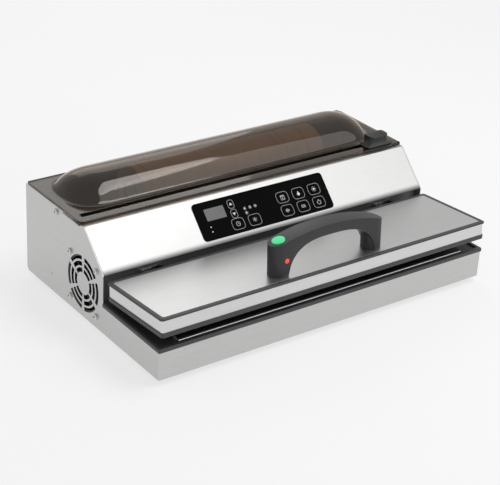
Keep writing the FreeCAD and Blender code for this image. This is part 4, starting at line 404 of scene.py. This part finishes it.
WORN_BY = {
    "case": ["main_case", "rear_panel"],
    "fascia": ["control_fascia"],
    "lid_plate": ["lid_plate"],
    "lid_band": ["lid_band"],
    "dark_sheet": ["hinge_wall"],
    "dark_plastic": ["chamber_tray", "lid_frame", "lid_shell"],
    "handle": ["handle"],
    "black_plastic": ["roll_trough", "cutter_rail", "cutter_knob", "fan_frame", "fan_rotor", "power_inlet"],
    "panel": ["control_panel"],
    "window": ["display_window"],
    "smoked": ["roll_cover"],
    "film": ["film_roll"],
    "card": ["roll_core"],
    "button": ["start_button"],
    "lamp": ["seal_lamp"],
    "foam": ["chamber_gasket", "lid_gasket", "suction_hose", "pump_mounts"],
    "feet": ["feet"],
    "silicone": ["press_strip"],
    "nonstick": ["nonstick_strip"],
    "aluminium": ["seal_bar", "pump_motor"],
    "brass": ["inlet_pins", "suction_port", "board_posts"],
    "board": ["control_board", "power_board"],
    "pump": ["vacuum_pump", "release_valve", "start_switch"],
    "iron": ["transformer_core"],
    "coil": ["transformer_coil"],
    "turned": ["hinge_arms", "hinge_brackets", "hinge_pins", "lid_springs", "cover_hinge_rod", "cutter_blade",
               "heating_band", "fan_screws", "trough_screws", "foot_screws", "inlet_screws", "handle_screws"],
}
finishes = {}


def wear(thing, finish):
    """Gives an object one finish in place of any it came with."""
    thing.data.materials.clear()
    thing.data.materials.append(finishes[finish])


# Pieces
def finished(name, bm, body, finish, replaces=(), sharp=32.0):
    """Turns a bmesh into a piece that rides on a body."""
    bmesh.ops.remove_doubles(bm, verts=bm.verts[:], dist=1e-6)
    bmesh.ops.recalc_face_normals(bm, faces=bm.faces[:])
    mesh = bpy.data.meshes.new(name)
    bm.to_mesh(mesh)
    bm.free()
    mesh.shade_smooth()
    mesh.set_sharp_from_angle(angle=math.radians(sharp))
    piece = bpy.data.objects.new(name, mesh)
    bpy.context.scene.collection.objects.link(piece)
    wear(piece, finish)
    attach(piece, body)
    if replaces:
        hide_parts(*replaces)
    return piece


def rod(bm, place, radius, depth, sides=24):
    """Closed cylinder about the z axis of a place."""
    bmesh.ops.create_cone(bm, cap_ends=True, segments=sides, radius1=radius, radius2=radius, depth=depth,
                          matrix=place)


def box(bm, centre, size):
    bmesh.ops.create_cube(bm, size=1.0, matrix=Matrix.Translation(centre) @ Matrix.Diagonal((*size, 1)))


def soften(bm, edges, width, steps=2, clamp=False):
    """Rounds edges over a width."""
    bmesh.ops.bevel(bm, geom=edges, offset=width, offset_type="OFFSET", segments=steps, profile=0.5,
                    affect="EDGES", clamp_overlap=clamp, material=-1)


def rims(bm):
    """Edges between faces that turn by more than a radian."""
    return [edge for edge in bm.edges if edge.calc_face_angle(0.0) > 1.0]


class SEALER_OT_finish_solids(bpy.types.Operator):
    """Gives every solid its finish"""
    bl_idname = "sealer.finish_solids"
    bl_label = "Finish the solids"

    def execute(self, context):
        finishes.update(make_finishes(context.scene.sealer_colours, context.scene.sealer_sizes))
        for finish, names in WORN_BY.items():
            for name in names:
                wear(nodes[name], finish)
        bare = sorted(set(nodes) - {name for names in WORN_BY.values() for name in names})
        if bare:
            raise RuntimeError(f"solids without a finish: {bare}")
        return {"FINISHED"}


def on_panel():
    """Matrix that lays a flat drawing on the panel: x across, y up the slope, z off its face."""
    reach = max((corner.co - SLOPE_TOP).dot(OFF_SLOPE) for corner in nodes["control_panel"].data.vertices)
    turn = Matrix((Vector((1, 0, 0)), -DOWN_SLOPE, OFF_SLOPE)).transposed().to_4x4()
    turn.translation = SLOPE_TOP + OFF_SLOPE * reach
    return turn


def spot(x, down):
    """Place on the drawing, in millimetres across and down the slope."""
    return Vector((x * MM, -down * MM, 0))


def tile(bm, x, down, wide, tall, corner=0.0, steps=3, turn=0.0):
    """Filled rectangle with rounded corners."""
    made = bmesh.ops.create_grid(bm, x_segments=1, y_segments=1, size=0.5)["verts"]
    bmesh.ops.scale(bm, vec=(wide * MM, tall * MM, 1), verts=made)
    if corner:
        made = bmesh.ops.bevel(bm, geom=made, offset=corner * MM, offset_type="OFFSET", segments=steps,
                               profile=0.5, affect="VERTICES", material=-1)["verts"]
    faces = list({face for vert in made for face in vert.link_faces})
    verts = list({vert for face in faces for vert in face.verts})
    bmesh.ops.rotate(bm, cent=(0, 0, 0), matrix=Matrix.Rotation(turn, 3, "Z"), verts=verts)
    bmesh.ops.translate(bm, vec=spot(x, down), verts=verts)
    return faces


def outline(bm, x, down, wide, tall, corner, line, steps=3):
    """Line drawn round a rectangle with rounded corners."""
    inner = tile(bm, x, down, wide, tall, corner, steps)
    bmesh.ops.inset_region(bm, faces=inner, thickness=line, use_even_offset=True, use_boundary=True)
    bmesh.ops.delete(bm, geom=inner, context="FACES")


def disc(bm, x, down, radius, sides=20, turn=0.0):
    place = Matrix.Translation(spot(x, down)) @ Matrix.Rotation(turn, 4, "Z")
    bmesh.ops.create_circle(bm, cap_ends=True, segments=sides, radius=radius * MM, matrix=place)


def ring(bm, x, down, radius, line, start=0.0, sweep=360.0):
    """Arc of a printed ring; start and sweep in degrees."""
    centre = spot(x, down)
    ends = [bm.verts.new(centre + Vector((0, (radius + side * line / 2) * MM, 0))) for side in (-1, 1)]
    edge = bm.edges.new(ends)
    bmesh.ops.rotate(bm, cent=centre, matrix=Matrix.Rotation(math.radians(start), 3, "Z"), verts=ends)
    bmesh.ops.spin(bm, geom=[edge, *ends], cent=centre, axis=(0, 0, 1), angle=math.radians(sweep), steps=24,
                   use_merge=sweep >= 360.0)


def raised(bm, height):
    """Gives a flat drawing its thickness."""
    made = bmesh.ops.extrude_face_region(bm, geom=bm.faces[:])["geom"]
    top = [part for part in made if isinstance(part, bmesh.types.BMVert)]
    bmesh.ops.translate(bm, vec=(0, 0, height), verts=top)


def bag_symbol(bm, x, down):
    outline(bm, x, down + 0.4, 6.0, 6.4, 0.8, 0.55 * MM)
    tile(bm, x, down - 1.6, 6.0, 0.7)
    tile(bm, x, down + 1.6, 0.7, 2.2)
    disc(bm, x, down + 0.6, 1.1, 3)


def drop_symbol(bm, x, down):
    disc(bm, x, down + 1.0, 2.2)
    disc(bm, x, down - 1.2, 1.9, 3)


def light_symbol(bm, x, down):
    disc(bm, x, down, 1.5)
    for turn in range(0, 360, 45):
        lean = math.radians(turn)
        tile(bm, x + 2.9 * math.sin(lean), down - 2.9 * math.cos(lean), 0.55, 1.3, turn=-lean)


def pulse_symbol(bm, x, down):
    for step, tall in ((-2.4, 2.6), (-0.8, 5.2), (0.8, 3.8), (2.4, 2.0)):
        tile(bm, x + step, down, 0.8, tall)


def seal_symbol(bm, x, down):
    for step in (-1.5, 0.0, 1.5):
        tile(bm, x, down + step, 6.4, 0.6)


def power_symbol(bm, x, down):
    ring(bm, x, down + 0.3, 2.7, 0.6, start=32, sweep=296)
    tile(bm, x, down - 2.1, 0.65, 3.2)


def timer_symbol(bm, x, down):
    ring(bm, x, down, 2.8, 0.55)
    tile(bm, x, down - 0.8, 0.55, 1.9)
    tile(bm, x + 0.7, down + 0.1, 1.6, 0.55)


def cool_symbol(bm, x, down):
    for turn in (0, 60, 120):
        tile(bm, x, down, 0.55, 6.2, turn=math.radians(turn))


# The panel's print: places across and down the slope, and sizes, in millimetres
KEY_WIDE, KEY_TALL, KEY_CORNER = 18.5, 15.0, 4.2
KEYS = (
    (30, 26, bag_symbol), (55, 26, drop_symbol), (80, 26, light_symbol), (30, 44, pulse_symbol),
    (55, 44, seal_symbol), (80, 44, power_symbol), (-46, 44, timer_symbol), (-21, 44.4, cool_symbol),
)
ARROW_KEY_X, ARROW_KEYS = -46, ((17.6, 0.0), (30.3, math.pi))
ARROW_KEY_WIDE, ARROW_KEY_TALL, ARROW_KEY_CORNER, ARROW = 9.2, 11.8, 3.6, 2.6
LAMPS = ((-29, 27.4), (-21, 27.4), (-13, 27.4), (-28.6, 33.4))
LAMP, LAMP_RING, LAMP_LINE = 1.1, 1.9, 0.5
BULLETS, BULLET = ((-84.7, 39.5), (-84.7, 45.5)), 0.9


class SEALER_OT_panel_print(bpy.types.Operator):
    """Prints the key outlines, symbols and lamps on the control panel"""
    bl_idname = "sealer.panel_print"
    bl_label = "Panel print"

    def execute(self, context):
        sizes = context.scene.sealer_sizes
        lines, marks = bmesh.new(), bmesh.new()
        for x, down, symbol in KEYS:
            outline(lines, x, down, KEY_WIDE, KEY_TALL, KEY_CORNER, sizes.key_line, steps=2)
            symbol(marks, x, down)
        for down, turn in ARROW_KEYS:
            outline(lines, ARROW_KEY_X, down, ARROW_KEY_WIDE, ARROW_KEY_TALL, ARROW_KEY_CORNER,
                    sizes.key_line, steps=4)
            disc(marks, ARROW_KEY_X, down, ARROW, 3, turn)
        for x, down in LAMPS:
            disc(marks, x, down, LAMP)
            ring(lines, x, down, LAMP_RING, LAMP_LINE)
        for x, down in BULLETS:
            disc(marks, x, down, BULLET)
        for bm in (lines, marks):
            raised(bm, sizes.print_height)
            bmesh.ops.transform(bm, matrix=on_panel(), verts=bm.verts[:])
        finished("panel_outlines", lines, "housing", "outlines")
        finished("panel_symbols", marks, "housing", "marks")
        return {"FINISHED"}


# The cover and its dome follow the solid, in millimetres: a long arch whose ends draw in and down
DOME_Y, DOME_HALF, DOME_DEEP, DOME_END, DOME_RISE = 94.0, 228.0, 46.0, 46.0, 26.0
COVER_TOP, COVER_WALL, COVER_CORNER, COVER_BEVEL = 130.6, 2.4, 6.0, 0.4
COVER_EDGE = ((-245.4, 245.4), (18.9, 146.2))
SLOT_HALF, SLOT_Y, SLOT_GAP = 236.0, 35.0, 8.0
BEAD, BEAD_RUNS = 2.9, ((0.0, 298.0), (-212.5, 61.0), (212.5, 61.0))
LIP_X, LIP_Y, LIP_Z, LIP_SIZE, LIP_EDGE = 246.0, 39.3, 128.2, (1.2, 40.0, 4.6), 0.5
GRIP_LIFT, GRIP_CROWN, GRIP_Y, GRIP_DIP, GRIP_HALF = 3.6, 6.0, 32.0, 2.0, 15.5
RIB_STEPS, RIB, RIB_LENGTH, RIB_EDGE = range(-9, 10, 3), 0.7, 13.5, 0.3


def dome_height(x, y):
    """Height of the dome over its plate, in millimetres."""
    along = max(0.0, abs(x) - (DOME_HALF - DOME_END)) / DOME_END
    across = abs(y - DOME_Y) / DOME_DEEP
    if along >= 1.0:
        return 0.0
    half = DOME_DEEP * (1.0 - along ** 3) ** (1.0 / 3.0)
    tall = DOME_RISE * math.sqrt(1.0 - along ** 2)
    if across * DOME_DEEP >= half or tall < 0.05:
        return 0.0
    radius = (half * half + tall * tall) / (2.0 * tall)
    rise = tall - radius + math.sqrt(max(radius * radius - (across * DOME_DEEP) ** 2, 0.0))
    return max(rise, 0.0)


def eased_height(x, y, fillet):
    """Dome height averaged over a small disc, which rounds its foot."""
    reach = fillet * 0.7
    turns = [step * math.pi / 4 for step in range(8)]
    spots = [(0.0, 0.0)] + [(reach * share * math.cos(turn), reach * share * math.sin(turn))
                            for share in (0.33, 0.67, 1.0) for turn in turns]
    return sum(dome_height(x + dx, y + dy) for dx, dy in spots) / len(spots)


def cover_sheet(fillet):
    """Upper face of the cover as one sheet with its slot left open."""
    (left, right), (front, back) = COVER_EDGE
    bm = bmesh.new()
    bmesh.ops.create_grid(bm, x_segments=230, y_segments=96, size=0.5)
    wide, deep = right - left, back - front
    bmesh.ops.transform(bm, matrix=Matrix.Diagonal((wide * MM, deep * MM, 1, 1)), verts=bm.verts[:])
    bmesh.ops.translate(bm, vec=(0, (front + back) / 2 * MM, 0), verts=bm.verts[:])
    cuts = [((side * SLOT_HALF * MM, 0, 0), (1, 0, 0)) for side in (-1, 1)]
    cuts += [((0, (SLOT_Y + side * SLOT_GAP / 2) * MM, 0), (0, 1, 0)) for side in (-1, 1)]
    for place, normal in cuts:
        bmesh.ops.bisect_plane(bm, geom=bm.verts[:] + bm.edges[:] + bm.faces[:], plane_co=place,
                               plane_no=normal, dist=1e-7)
    slot = [face for face in bm.faces if abs(face.calc_center_median().x) < SLOT_HALF * MM
            and abs(face.calc_center_median().y - SLOT_Y * MM) < SLOT_GAP / 2 * MM]
    bmesh.ops.delete(bm, geom=slot, context="FACES")
    for vert in bm.verts:
        vert.co.z = (COVER_TOP + eased_height(vert.co.x / MM, vert.co.y / MM, fillet)) * MM
    return bm


def round_front_corners(bm):
    """Draws the sheet's two front corners in to a quarter circle."""
    inner, start = COVER_EDGE[0][1] - COVER_CORNER, COVER_EDGE[1][0] + COVER_CORNER
    for vert in bm.verts:
        out = Vector((abs(vert.co.x) / MM - inner, start - vert.co.y / MM))
        if min(out) > 0 and out.length > COVER_CORNER:
            kept = out.normalized() * COVER_CORNER
            vert.co.x = math.copysign((inner + kept.x) * MM, vert.co.x)
            vert.co.y = (start - kept.y) * MM


def cover_bead():
    """Round bead along the rear edge, broken where the hinge's knuckles stand."""
    bm = bmesh.new()
    for x, wide in BEAD_RUNS:
        rod(bm, Matrix.Translation((x * MM, COVER_HINGE.y, COVER_HINGE.z)) @ ALONG_X, BEAD * MM, wide * MM)
    return bm


def cover_lips():
    """Thin lips down the two front ends of the cover."""
    bm = bmesh.new()
    for side in (-1, 1):
        box(bm, Vector((side * LIP_X, LIP_Y, LIP_Z)) * MM, Vector(LIP_SIZE) * MM)
    soften(bm, bm.edges[:], LIP_EDGE * MM)
    return bm


class SEALER_OT_roll_cover(bpy.types.Operator):
    """Moulds the smoked cover with its eased dome foot and its side lips"""
    bl_idname = "sealer.roll_cover"
    bl_label = "Roll cover"

    def execute(self, context):
        bm = cover_sheet(context.scene.sealer_sizes.dome_fillet / MM)
        round_front_corners(bm)
        piece = finished("smoked_cover", bm, "roll_cover", "smoked", ["roll_cover"], sharp=40.0)
        wall = piece.modifiers.new("wall", "SOLIDIFY")
        wall.thickness = COVER_WALL * MM
        wall.offset = -1.0
        wall.use_even_offset = True
        edge = piece.modifiers.new("edge", "BEVEL")
        edge.width = COVER_BEVEL * MM
        edge.segments = 2
        edge.limit_method = "ANGLE"
        edge.angle_limit = math.radians(50)
        finished("cover_bead", cover_bead(), "roll_cover", "black_plastic")
        finished("cover_lips", cover_lips(), "roll_cover", "smoked")
        return {"FINISHED"}


class SEALER_OT_cutter(bpy.types.Operator):
    """Raises the cutter's grip and adds its finger ribs"""
    bl_idname = "sealer.cutter"
    bl_label = "Cutter grip"

    def execute(self, context):
        low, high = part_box("cutter_knob")
        grip = bmesh.new()
        grip.from_mesh(nodes["cutter_knob"].data)
        crown = [vert for vert in grip.verts if vert.co.z > high.z - GRIP_CROWN * MM]
        bmesh.ops.translate(grip, vec=(0, 0, GRIP_LIFT * MM), verts=crown)
        finished("cutter_grip", grip, "cutter", "black_plastic", ["cutter_knob"], sharp=40.0)
        ribs = bmesh.new()
        for step in RIB_STEPS:
            dip = GRIP_DIP * (1 - (step / GRIP_HALF) ** 2)
            middle = Vector(((low.x + high.x) / 2 + step * MM, GRIP_Y * MM, high.z + (GRIP_LIFT - dip) * MM))
            rod(ribs, Matrix.Translation(middle) @ ALONG_Y, RIB * MM, RIB_LENGTH * MM, sides=14)
        soften(ribs, rims(ribs), RIB_EDGE * MM)
        finished("cutter_ribs", ribs, "cutter", "black_plastic")
        return {"FINISHED"}


# The loose end of the film, in millimetres and degrees
FILM_LIFT, FILM_INSET, FILM_THICK, FILM_START, FILM_SWEEP = 0.12, 0.4, 0.1, 38, 55


class SEALER_OT_film(bpy.types.Operator):
    """Lays the loose end of the film round its roll"""
    bl_idname = "sealer.film"
    bl_label = "Film end"

    def execute(self, context):
        low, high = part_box("film_roll")
        centre = Vector((0, (low.y + high.y) / 2, (low.z + high.z) / 2))
        radius = (high.z - low.z) / 2 + FILM_LIFT * MM
        sides = (low.x + FILM_INSET * MM, high.x - FILM_INSET * MM)
        bm = bmesh.new()
        ends = [bm.verts.new((x, centre.y, centre.z + radius)) for x in sides]
        edge = bm.edges.new(ends)
        start = Matrix.Rotation(math.radians(FILM_START), 3, "X")
        bmesh.ops.rotate(bm, cent=centre, matrix=start, verts=ends)
        bmesh.ops.spin(bm, geom=[edge, *ends], cent=centre, axis=(1, 0, 0), angle=math.radians(FILM_SWEEP),
                       steps=22)
        piece = finished("film_end", bm, "bag_roll", "film")
        wall = piece.modifiers.new("wall", "SOLIDIFY")
        wall.thickness = FILM_THICK * MM
        wall.offset = 0.0
        return {"FINISHED"}


# Dark crosses on the side screws' heads and a dark dot on the side, in millimetres: painted shade of the
# screws' cross recesses and of a small hole
FAN_PITCH, CROSS_LONG, CROSS_WIDE, CROSS_THICK = 30.0, 3.6, 0.9, 0.2
HOLE_SHADE, HOLE_SHADE_RADIUS, HOLE_SHADE_DEPTH = (-245.0, 90.2, 31.0), 1.0, 0.3


class SEALER_OT_painted_recess_shade(bpy.types.Operator):
    """Sets thin dark crosses into the side screws' heads and a dark dot into the side: painted shade of their
    cross recesses and of a small hole
    """
    bl_idname = "sealer.screw_recesses"
    bl_label = "Screw recesses"

    def execute(self, context):
        low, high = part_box("fan_screws")
        face, fan_y, fan_z = low.x, (low.y + high.y) / 2, (low.z + high.z) / 2
        offsets = (-FAN_PITCH * MM, FAN_PITCH * MM)
        spots = [(face, fan_y + dy, fan_z + dz) for dy in offsets for dz in offsets]
        low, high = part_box("trough_screws")
        spots += [(x, (low.y + high.y) / 2, (low.z + high.z) / 2) for x in (face, -face)]
        bm = bmesh.new()
        # Each cross is painted shade of a screw's cross recess.
        for place in spots:
            for wide, tall in ((CROSS_LONG, CROSS_WIDE), (CROSS_WIDE, CROSS_LONG)):
                box(bm, place, Vector((CROSS_THICK, wide, tall)) * MM)
        # A dark disc, painted shade of a small hole in the side.
        hole_shade = Matrix.Translation(Vector(HOLE_SHADE) * MM) @ ALONG_X
        rod(bm, hole_shade, HOLE_SHADE_RADIUS * MM, HOLE_SHADE_DEPTH * MM, sides=16)
        finished("screw_recesses", bm, "housing", "dark_sheet")
        return {"FINISHED"}


# The handle on a level lid, in millimetres
HANDLE_Y, HANDLE_REACH, HANDLE_EDGE, HANDLE_FOOT, STRAIGHT_SHARE = -130.9, 12.5, 2.2, 2.0, 0.8
LEFT_POST, RIGHT_POST, POST_TALL, POST_LIFT, POST_INSET = -68.0, 73.2, 30.0, 15.1, 0.03
CROWN, CROWN_RADIUS = 51.0, 265.5
ARCH_RISE, ARCH_LEFT, ARCH_RIGHT, ARCH_POWER = 38.2, 60.0, 69.0, 3.0
BUTTON_BORE, BUTTON_WELL, BUTTON_EDGE = 8.8, 8.0, 0.9
BUTTON_CAP, BUTTON_TALL, BUTTON_PROUD = 8.3, 5.0, 1.2
STEM, STEM_DROP, STEM_TALL = 3.0, 1.2, 2.6
LENS, LENS_SINK = 3.3, 1.2


def handle_column(share):
    """Place along the handle and half its depth there, for a share from -1 to 1."""
    post = LEFT_POST if share < 0 else RIGHT_POST
    if abs(share) <= STRAIGHT_SHARE:
        return post * abs(share) / STRAIGHT_SHARE, HANDLE_REACH
    turn = (abs(share) - STRAIGHT_SHARE) / (1 - STRAIGHT_SHARE) * math.pi / 2
    return post + math.copysign(HANDLE_REACH * math.sin(turn), post), HANDLE_REACH * math.cos(turn)


def handle_top(x):
    return CROWN - CROWN_RADIUS + math.sqrt(CROWN_RADIUS ** 2 - x * x)


def handle_underside(x):
    inner = ARCH_LEFT if x < 0 else ARCH_RIGHT
    share = min(abs(x) / inner, 1.0)
    return ARCH_RISE * math.sqrt(1 - share ** ARCH_POWER)


def handle_bar():
    """Arched bar with round ends, open below."""
    bm = bmesh.new()
    bmesh.ops.create_grid(bm, x_segments=120, y_segments=2, size=1.0)
    low = bm.verts[:]
    made = bmesh.ops.extrude_face_region(bm, geom=bm.faces[:])["geom"]
    high = [part for part in made if isinstance(part, bmesh.types.BMVert)]
    for verts, level in ((low, handle_underside), (high, handle_top)):
        for vert in verts:
            x, half = handle_column(vert.co.x)
            vert.co = Vector((x, vert.co.y * half, level(x))) * MM
    bmesh.ops.remove_doubles(bm, verts=bm.verts[:], dist=1e-5)
    bmesh.ops.recalc_face_normals(bm, faces=bm.faces[:])
    rim = [edge for edge in bm.edges if edge.calc_face_angle(0.0) > math.radians(55)
           and max(vert.co.z for vert in edge.verts) > HANDLE_FOOT * MM]
    soften(bm, rim, HANDLE_EDGE * MM, steps=4, clamp=True)
    return bm


def bored(piece, axis, radius, depth):
    """Cuts a round well into a piece, along the axis matrix from its origin downwards."""
    bm = bmesh.new()
    rod(bm, axis, radius, 2 * depth, sides=48)
    mesh = bpy.data.meshes.new("well")
    bm.to_mesh(mesh)
    bm.free()
    cutter = bpy.data.objects.new("well", mesh)
    bpy.context.scene.collection.objects.link(cutter)
    cut = piece.modifiers.new("well", "BOOLEAN")
    cut.operation = "DIFFERENCE"
    cut.solver = "EXACT"
    cut.object = cutter
    bpy.context.view_layer.update()
    seen = piece.evaluated_get(bpy.context.evaluated_depsgraph_get())
    made = bpy.data.meshes.new_from_object(seen)
    piece.modifiers.clear()
    piece.data = made
    bpy.data.objects.remove(cutter)
    piece.data.shade_smooth()
    piece.data.set_sharp_from_angle(angle=math.radians(38))


def button_cap(axis):
    """Button with a rounded rim, on a stem that ends short of the well's floor."""
    bm = bmesh.new()
    foot = BUTTON_PROUD - BUTTON_TALL
    place = axis @ Matrix.Translation((0, 0, (BUTTON_PROUD + foot) / 2 * MM))
    rod(bm, place, BUTTON_CAP * MM, BUTTON_TALL * MM, sides=64)
    soften(bm, rims(bm), BUTTON_EDGE * MM, steps=4)
    rod(bm, axis @ Matrix.Translation((0, 0, (foot - STEM_DROP) * MM)), STEM * MM, STEM_TALL * MM)
    return bm


def lamp_lens(seat):
    """Domed lens let into the front of the left post."""
    low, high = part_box("seal_lamp")
    middle = seat.inverted() @ ((low + high) / 2)
    bm = bmesh.new()
    place = seat @ Matrix.Translation((middle.x, (LENS_SINK - HANDLE_REACH) * MM, middle.z))
    bmesh.ops.create_uvsphere(bm, u_segments=28, v_segments=16, radius=LENS * MM, matrix=place)
    return bm


class SEALER_OT_handle(bpy.types.Operator):
    """Moulds the lid's handle with its arch, posts and button well"""
    bl_idname = "sealer.handle"
    bl_label = "Handle"

    def execute(self, context):
        seat = LID_LEAN @ Matrix.Translation((0, HANDLE_Y * MM, LEVEL_LID_TOP))
        bm = handle_bar()
        bmesh.ops.transform(bm, matrix=seat, verts=bm.verts[:])
        bar = finished("handle_bar", bm, "lid", "handle", ["handle"], sharp=38.0)
        tilt = math.asin(LEFT_POST / CROWN_RADIUS)
        axis = (seat @ Matrix.Translation(Vector((LEFT_POST, 0, handle_top(LEFT_POST))) * MM)
                @ Matrix.Rotation(tilt, 4, "Y"))
        bored(bar, axis, BUTTON_BORE * MM, BUTTON_WELL * MM)
        posts = bmesh.new()
        for x in (LEFT_POST, RIGHT_POST):
            place = seat @ Matrix.Translation(Vector((x, 0, POST_LIFT)) * MM)
            rod(posts, place, (HANDLE_REACH - POST_INSET) * MM, POST_TALL * MM, sides=64)
        finished("handle_posts", posts, "lid", "handle")
        finished("button_cap", button_cap(axis), "start_button", "button", ["start_button"])
        finished("lamp_lens", lamp_lens(seat), "lid", "lamp", ["seal_lamp"])
        return {"FINISHED"}


# Studio
ROOM_LIGHT, ROOM_WHITE = 0.62, (0.955, 0.955, 0.955)
FLOOR_WHITE, FLOOR_SHARE = (0.965, 0.965, 0.965), 0.66
CAMERA_TURN, CAMERA_RISE, CAMERA_ROLL = (math.radians(turn) for turn in (-37.41, 26.97, 3.37))
CAMERA_TARGET, CAMERA_DISTANCE = Vector((0, 0.01509, 0.04374)), 1.84041
CAMERA_LENS, CAMERA_SENSOR = 103.86, 36.0


def area_light(name, place, aim, size, power, shape="RECTANGLE"):
    light = bpy.data.lights.new(name, "AREA")
    light.shape = shape
    light.size, light.size_y = size
    light.energy = power
    lamp = bpy.data.objects.new(name, light)
    bpy.context.scene.collection.objects.link(lamp)
    lamp.location = place
    lamp.rotation_euler = (Vector(aim) - Vector(place)).to_track_quat("-Z", "Y").to_euler()


def seen_white(tree):
    """1 for the camera's rays and for those that metal and clear plastic send on."""
    path = tree.nodes.new("ShaderNodeLightPath")
    seen = math_node(tree, "MAXIMUM", path.outputs["Is Camera Ray"], path.outputs["Is Transmission Ray"])
    return math_node(tree, "MAXIMUM", seen, path.outputs["Is Glossy Ray"])


def studio_world():
    """Even room light; the camera sees a white room."""
    world = bpy.data.worlds.new("studio")
    bpy.context.scene.world = world
    world.use_nodes = True
    tree = world.node_tree
    room = tree.nodes["Background"]
    room.inputs["Color"].default_value = (1, 1, 1, 1)
    room.inputs["Strength"].default_value = ROOM_LIGHT
    seen = tree.nodes.new("ShaderNodeLightPath").outputs["Is Camera Ray"]
    white = add(tree, "ShaderNodeBackground", [("Color", (*ROOM_WHITE, 1)), ("Strength", 1.0)])
    mixed = add(tree, "ShaderNodeMixShader", [(0, seen), (1, room.outputs[0]), (2, white.outputs[0])])
    tree.links.new(mixed.outputs[0], tree.nodes["World Output"].inputs["Surface"])


def studio_floor(colour):
    """Wide pale floor that takes the shadow."""
    bm = bmesh.new()
    bmesh.ops.create_grid(bm, x_segments=8, y_segments=8, size=6.0)
    mesh = bpy.data.meshes.new("studio_floor")
    bm.to_mesh(mesh)
    bm.free()
    floor = bpy.data.objects.new("studio_floor", mesh)
    bpy.context.scene.collection.objects.link(floor)
    material, tree, shader, coords = blank("studio_floor")
    shader.inputs["Roughness"].default_value = 0.7
    given = add(tree, "ShaderNodeRGB")
    given.outputs[0].default_value = (*colour, 1)
    soft = spread(tree, noise(tree, coords, 2.0, 2.0), 0.99, 1.01)
    tree.links.new(shade_of(tree, given.outputs[0], soft), shader.inputs["Base Color"])
    glow = add(tree, "ShaderNodeEmission", [("Color", (*FLOOR_WHITE, 1)), ("Strength", 1.0)])
    share = math_node(tree, "MULTIPLY", seen_white(tree), FLOOR_SHARE)
    mixed = add(tree, "ShaderNodeMixShader", [(0, share), (1, shader.outputs[0]), (2, glow.outputs[0])])
    tree.links.new(mixed.outputs[0], tree.nodes["Material Output"].inputs["Surface"])
    floor.data.materials.append(material)


def photo_camera():
    """Camera fitted to the picture's corners."""
    level = math.cos(CAMERA_RISE)
    back = Vector((math.sin(CAMERA_TURN) * level, -math.cos(CAMERA_TURN) * level, math.sin(CAMERA_RISE)))
    right = (-back).cross(Vector((0, 0, 1))).normalized()
    up = right.cross(-back)
    stand = Matrix((right, up, back)).transposed().to_4x4() @ Matrix.Rotation(CAMERA_ROLL, 4, "Z")
    stand.translation = CAMERA_TARGET + back * CAMERA_DISTANCE
    camera = bpy.data.cameras.new("photo_camera")
    camera.sensor_width = CAMERA_SENSOR
    camera.lens = CAMERA_LENS
    seat = bpy.data.objects.new("photo_camera", camera)
    bpy.context.scene.collection.objects.link(seat)
    seat.matrix_world = stand
    bpy.context.scene.camera = seat


class SEALER_OT_stage(bpy.types.Operator):
    """Sets the floor, the lamps and the camera"""
    bl_idname = "sealer.stage"
    bl_label = "Stage"

    def execute(self, context):
        context.scene.view_settings.view_transform = "Standard"
        studio_world()
        studio_floor(tuple(context.scene.sealer_colours.floor))
        area_light("right_softbox", (1.05, -1.0, 1.55), (0, -0.05, 0.1), (1.4, 1.5), 7.8)
        area_light("back_softbox", (0.42, 1.30, 0.98), (0, 0, 0.08), (1.0, 0.9), 2.2)
        area_light("top_softbox", (0.45, -0.29, 1.50), (-0.12, 0.08, 0.15), (1.0, 0.55), 5.4, "ELLIPSE")
        photo_camera()
        return {"FINISHED"}


class SEALER_PT_panel(bpy.types.Panel):
    """Lists the steps and the settings in the 3D view's sidebar"""
    bl_idname = "SEALER_PT_panel"
    bl_label = "Vacuum Sealer"
    bl_space_type = "VIEW_3D"
    bl_region_type = "UI"
    bl_category = "Sealer"

    def draw(self, context):
        for step in STEPS:
            self.layout.operator(step.bl_idname)
        for group in (context.scene.sealer_colours, context.scene.sealer_sizes):
            for name in group.bl_rna.properties.keys():
                if name not in ("rna_type", "name"):
                    self.layout.prop(group, name)


GROUPS = (SealerColours, SealerSizes)
STEPS = (
    SEALER_OT_finish_solids, SEALER_OT_panel_print, SEALER_OT_roll_cover, SEALER_OT_cutter, SEALER_OT_film,
    SEALER_OT_painted_recess_shade, SEALER_OT_handle, SEALER_OT_stage,
)


def register():
    for made in (*GROUPS, *STEPS, SEALER_PT_panel):
        bpy.utils.register_class(made)
    bpy.types.Scene.sealer_colours = bpy.props.PointerProperty(type=SealerColours)
    bpy.types.Scene.sealer_sizes = bpy.props.PointerProperty(type=SealerSizes)


def unregister():
    del bpy.types.Scene.sealer_sizes
    del bpy.types.Scene.sealer_colours
    for made in reversed((*GROUPS, *STEPS, SEALER_PT_panel)):
        bpy.utils.unregister_class(made)


def main():
    register()
    for step in STEPS:
        family, act = step.bl_idname.split(".")
        getattr(getattr(bpy.ops, family), act)()


if __name__ == "__main__":
    main()
